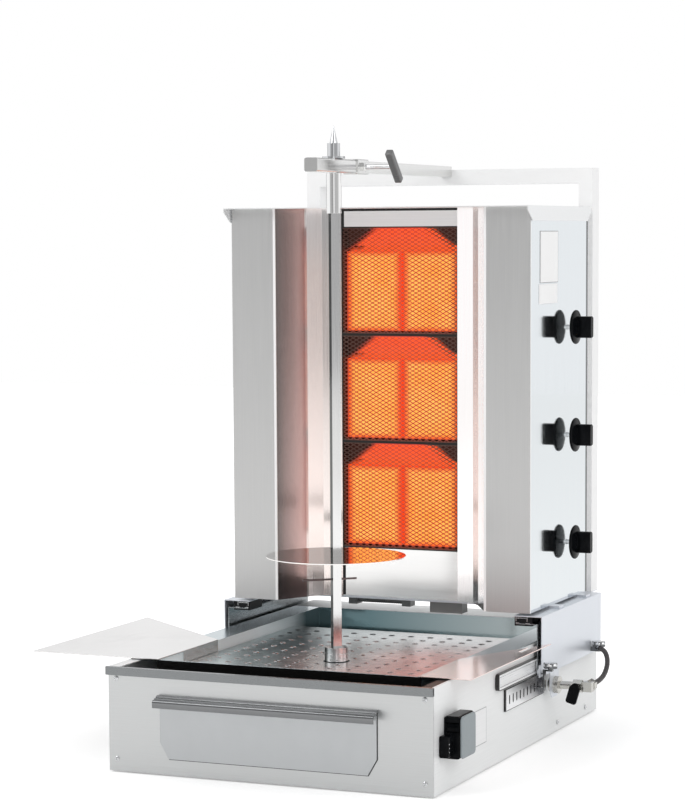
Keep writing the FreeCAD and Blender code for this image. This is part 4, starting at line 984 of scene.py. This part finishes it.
front_low, front_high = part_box("base_front_panel")
screw_x = front_high.x - 0.0135
screw_rise = 0.021
upper_screw = side_high.z - 0.0185
side_screw_z = 0.016
side_screw_y = (0.327, 0.177)
head_radius, head_height = 0.004, 0.002
screws = Shape()
front_places = [(way * screw_x, z) for z in (screw_rise, upper_screw) for way in (-1, 1)]
for number, (x, z) in enumerate(front_places):
    pan_head(screws, (x, front_low.y, z), (0, -1, 0), head_radius, head_height, 0.4 + number)
for number, y in enumerate(side_screw_y):
    for way in (-1, 1):
        place = (way * side_high.x, y, side_screw_z)
        pan_head(screws, place, (way, 0, 0), head_radius, head_height, 0.9 + number)
screws.build("base_screw_heads", chrome, "base", ("base_screws",), 25)


# Hand knobs with six lobes over the latch and the hose fitting
def lobed(name, centre, body):
    knob = Shape()
    knob.lathe([
        (0.004, -0.0004), (0.0098, -0.0003), (0.0117, 0.0014), (0.0123, 0.0040), (0.0118, 0.0066),
        (0.0100, 0.0086), (0.0072, 0.0096), (0.0030, 0.0099),
    ], centre, (0, 0, 1), turns=96, wave=6, depth=0.13)
    knob.build(name, fitting_chrome, body)


latch_knob_foot = (0.3005, 0.052, 0.128)
fitting_knob_foot = (0.2984, 0.315, 0.125)
lobed("latch_knob_cap", latch_knob_foot, "latch")
lobed("fitting_knob_cap", fitting_knob_foot, "carriage")


# Braid on the hose: two sets of strands wound the opposite way
def braid():
    strands = Shape()
    count = 11
    turn_length = 0.021
    outer = 0.00385
    thick = 0.00038
    width_share, height_share = 1.4, 0.6
    wave = 0.00012
    lengths = [0.0]
    for a, b in zip(hose_line, hose_line[1:]):
        lengths.append(lengths[-1] + (b - a).length)
    for way in (-1, 1):
        for number in range(count):
            rings = []
            for k, here in enumerate(hose_line):
                ahead = hose_line[min(k + 1, len(hose_line) - 1)]
                behind = hose_line[max(k - 1, 0)]
                along = (ahead - behind).normalized()
                u = along.cross(Vector((0, 0, 1))).normalized()
                w = along.cross(u)
                angle = 2 * math.pi * (number / count + way * lengths[k] / turn_length)
                spoke = u * math.cos(angle) + w * math.sin(angle)
                flat = along.cross(spoke)
                lift = outer + wave * math.cos(count * (angle if way > 0 else -angle))
                corners = []
                for a, b in ((1, 0.2), (0, 1), (-1, 0.2), (0, -0.8)):
                    out = lift + b * thick * height_share
                    corners.append(here + spoke * out + flat * a * thick * width_share)
                rings.append(strands.ring(corners))
            strands.skin(rings)
    return strands.build("gas_hose_braid", dark_steel, "carriage", (), 60)


hose_curve.materials.append(black_soft)
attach(hose, "carriage")
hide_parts("gas_hose")
braid()


# World: white as seen, soft grey as light, and a room of bright and dark bands in reflections
world = bpy.data.worlds.new("studio")
scene.world = world
world.use_nodes = True
tree = world.node_tree
tree.nodes.clear()


def world_node(kind, **settings):
    node = tree.nodes.new(kind)
    for key, value in settings.items():
        setattr(node, key, value)
    return node


def light_path():
    """Two values: 1 for rays of a reflection, and 1 for rays from the camera or through glass."""
    path = world_node("ShaderNodeLightPath")
    first = world_node("ShaderNodeMath", operation="MAXIMUM")
    tree.links.new(path.outputs["Is Camera Ray"], first.inputs[0])
    tree.links.new(path.outputs["Is Transmission Ray"], first.inputs[1])
    return path.outputs["Is Glossy Ray"], first.outputs[0]


glossy_ray, plain_ray = light_path()
direction = world_node("ShaderNodeTexCoord").outputs["Generated"]
turn = world_node("ShaderNodeMath", operation="ARCTAN2")
for socket, axis in ((0, (math.cos(yaw), math.sin(yaw), 0.0)), (1, (math.sin(yaw), -math.cos(yaw), 0.0))):
    share = world_node("ShaderNodeVectorMath", operation="DOT_PRODUCT")
    tree.links.new(direction, share.inputs[0])
    share.inputs[1].default_value = axis
    tree.links.new(share.outputs["Value"], turn.inputs[socket])
full_turn = world_node("ShaderNodeMapRange")
full_turn.inputs["From Min"].default_value = -math.pi
full_turn.inputs["From Max"].default_value = math.pi
tree.links.new(turn.outputs[0], full_turn.inputs["Value"])
room = world_node("ShaderNodeValToRGB")
tree.links.new(full_turn.outputs["Result"], room.inputs["Fac"])
# Brightness of the room by turn in degrees from the viewing side
brightness = (
    (-180, 1.0), (-165, 1.0), (-160, 0.2), (-147, 0.2), (-141, 1.0), (-66, 1.0), (-58, 0.50), (-38, 0.45),
    (-34, 0.40), (-9, 0.32), (-6, 1.0), (6, 1.0), (9, 0.5), (60, 0.5), (75, 0.8), (90, 1.0), (141, 1.0),
    (147, 0.25), (160, 0.25), (165, 1.0), (180, 1.0),
)
ramp = room.color_ramp
ramp.elements[0].position = 0.0
ramp.elements[1].position = 1.0
for degrees, level_there in brightness[1:-1]:
    ramp.elements.new((degrees + 180) / 360).color = (level_there, level_there, level_there * 1.01, 1)
ramp.elements[0].color = ramp.elements[-1].color = (1, 1, 1, 1)
as_light = world_node("ShaderNodeMix", data_type="RGBA")
tree.links.new(glossy_ray, as_light.inputs[0])
as_light.inputs[6].default_value = (0.72, 0.72, 0.72, 1)
tree.links.new(room.outputs["Color"], as_light.inputs[7])
as_seen = world_node("ShaderNodeMix", data_type="RGBA")
tree.links.new(plain_ray, as_seen.inputs[0])
tree.links.new(as_light.outputs[2], as_seen.inputs[6])
as_seen.inputs[7].default_value = (1, 1, 1, 1)
background = world_node("ShaderNodeBackground")
tree.links.new(as_seen.outputs[2], background.inputs["Color"])
world_out = world_node("ShaderNodeOutputWorld")
tree.links.new(background.outputs["Background"], world_out.inputs["Surface"])

# Floor: white paper that keeps the object's shadow
floor_half = 9
floor_level = -0.0005
floor_corners = [(x * floor_half, y * floor_half, floor_level) for x, y in square]
floor_mesh = bpy.data.meshes.new("studio_floor")
floor_mesh.from_pydata(floor_corners, [], [(0, 1, 2, 3)])
floor = bpy.data.objects.new("studio_floor", floor_mesh)
scene.collection.objects.link(floor)
paper = bpy.data.materials.new("floor_paper")
paper.use_nodes = True
tree = paper.node_tree
paper_shader = tree.nodes["Principled BSDF"]
paper_shader.inputs["Base Color"].default_value = (0.93, 0.93, 0.93, 1)
paper_shader.inputs["Roughness"].default_value = 0.9
paper_shader.inputs["Specular IOR Level"].default_value = 0.0
paper_shader.inputs["Emission Color"].default_value = (1, 1, 1, 1)
glossy_ray, plain_ray = light_path()
seen_ray = world_node("ShaderNodeMath", operation="MAXIMUM")
in_mirror = world_node("ShaderNodeMath", operation="MULTIPLY")
in_mirror.inputs[1].default_value = 0.5
tree.links.new(glossy_ray, in_mirror.inputs[0])
tree.links.new(in_mirror.outputs[0], seen_ray.inputs[0])
tree.links.new(plain_ray, seen_ray.inputs[1])
distance = world_node("ShaderNodeVectorMath", operation="LENGTH")
tree.links.new(world_node("ShaderNodeTexCoord").outputs["Object"], distance.inputs[0])
away = world_node("ShaderNodeMapRange")
tree.links.new(distance.outputs["Value"], away.inputs["Value"])
away.inputs["From Min"].default_value = 0.4
away.inputs["From Max"].default_value = 1.1
away.inputs["To Min"].default_value = 0.28
away.inputs["To Max"].default_value = 0.6
lift = world_node("ShaderNodeMath", operation="MULTIPLY")
tree.links.new(seen_ray.outputs[0], lift.inputs[0])
tree.links.new(away.outputs["Result"], lift.inputs[1])
tree.links.new(lift.outputs[0], paper_shader.inputs["Emission Strength"])
floor_mesh.materials.append(paper)


def lamp(name, place, aim, size, power):
    data = bpy.data.lights.new(name, "AREA")
    data.size = size
    data.energy = power
    lamp_object = bpy.data.objects.new(name, data)
    scene.collection.objects.link(lamp_object)
    lamp_object.location = place
    direction = Vector(aim) - Vector(place)
    lamp_object.rotation_euler = direction.to_track_quat("-Z", "Y").to_euler()


lamp("key", (-2.2, -3.0, 3.2), (0, 0, 0.4), 2.0, 40)
lamp("fill", (3.2, -1.5, 2.4), (0, 0, 0.4), 2.0, 25)

scene.view_settings.view_transform = "Standard"
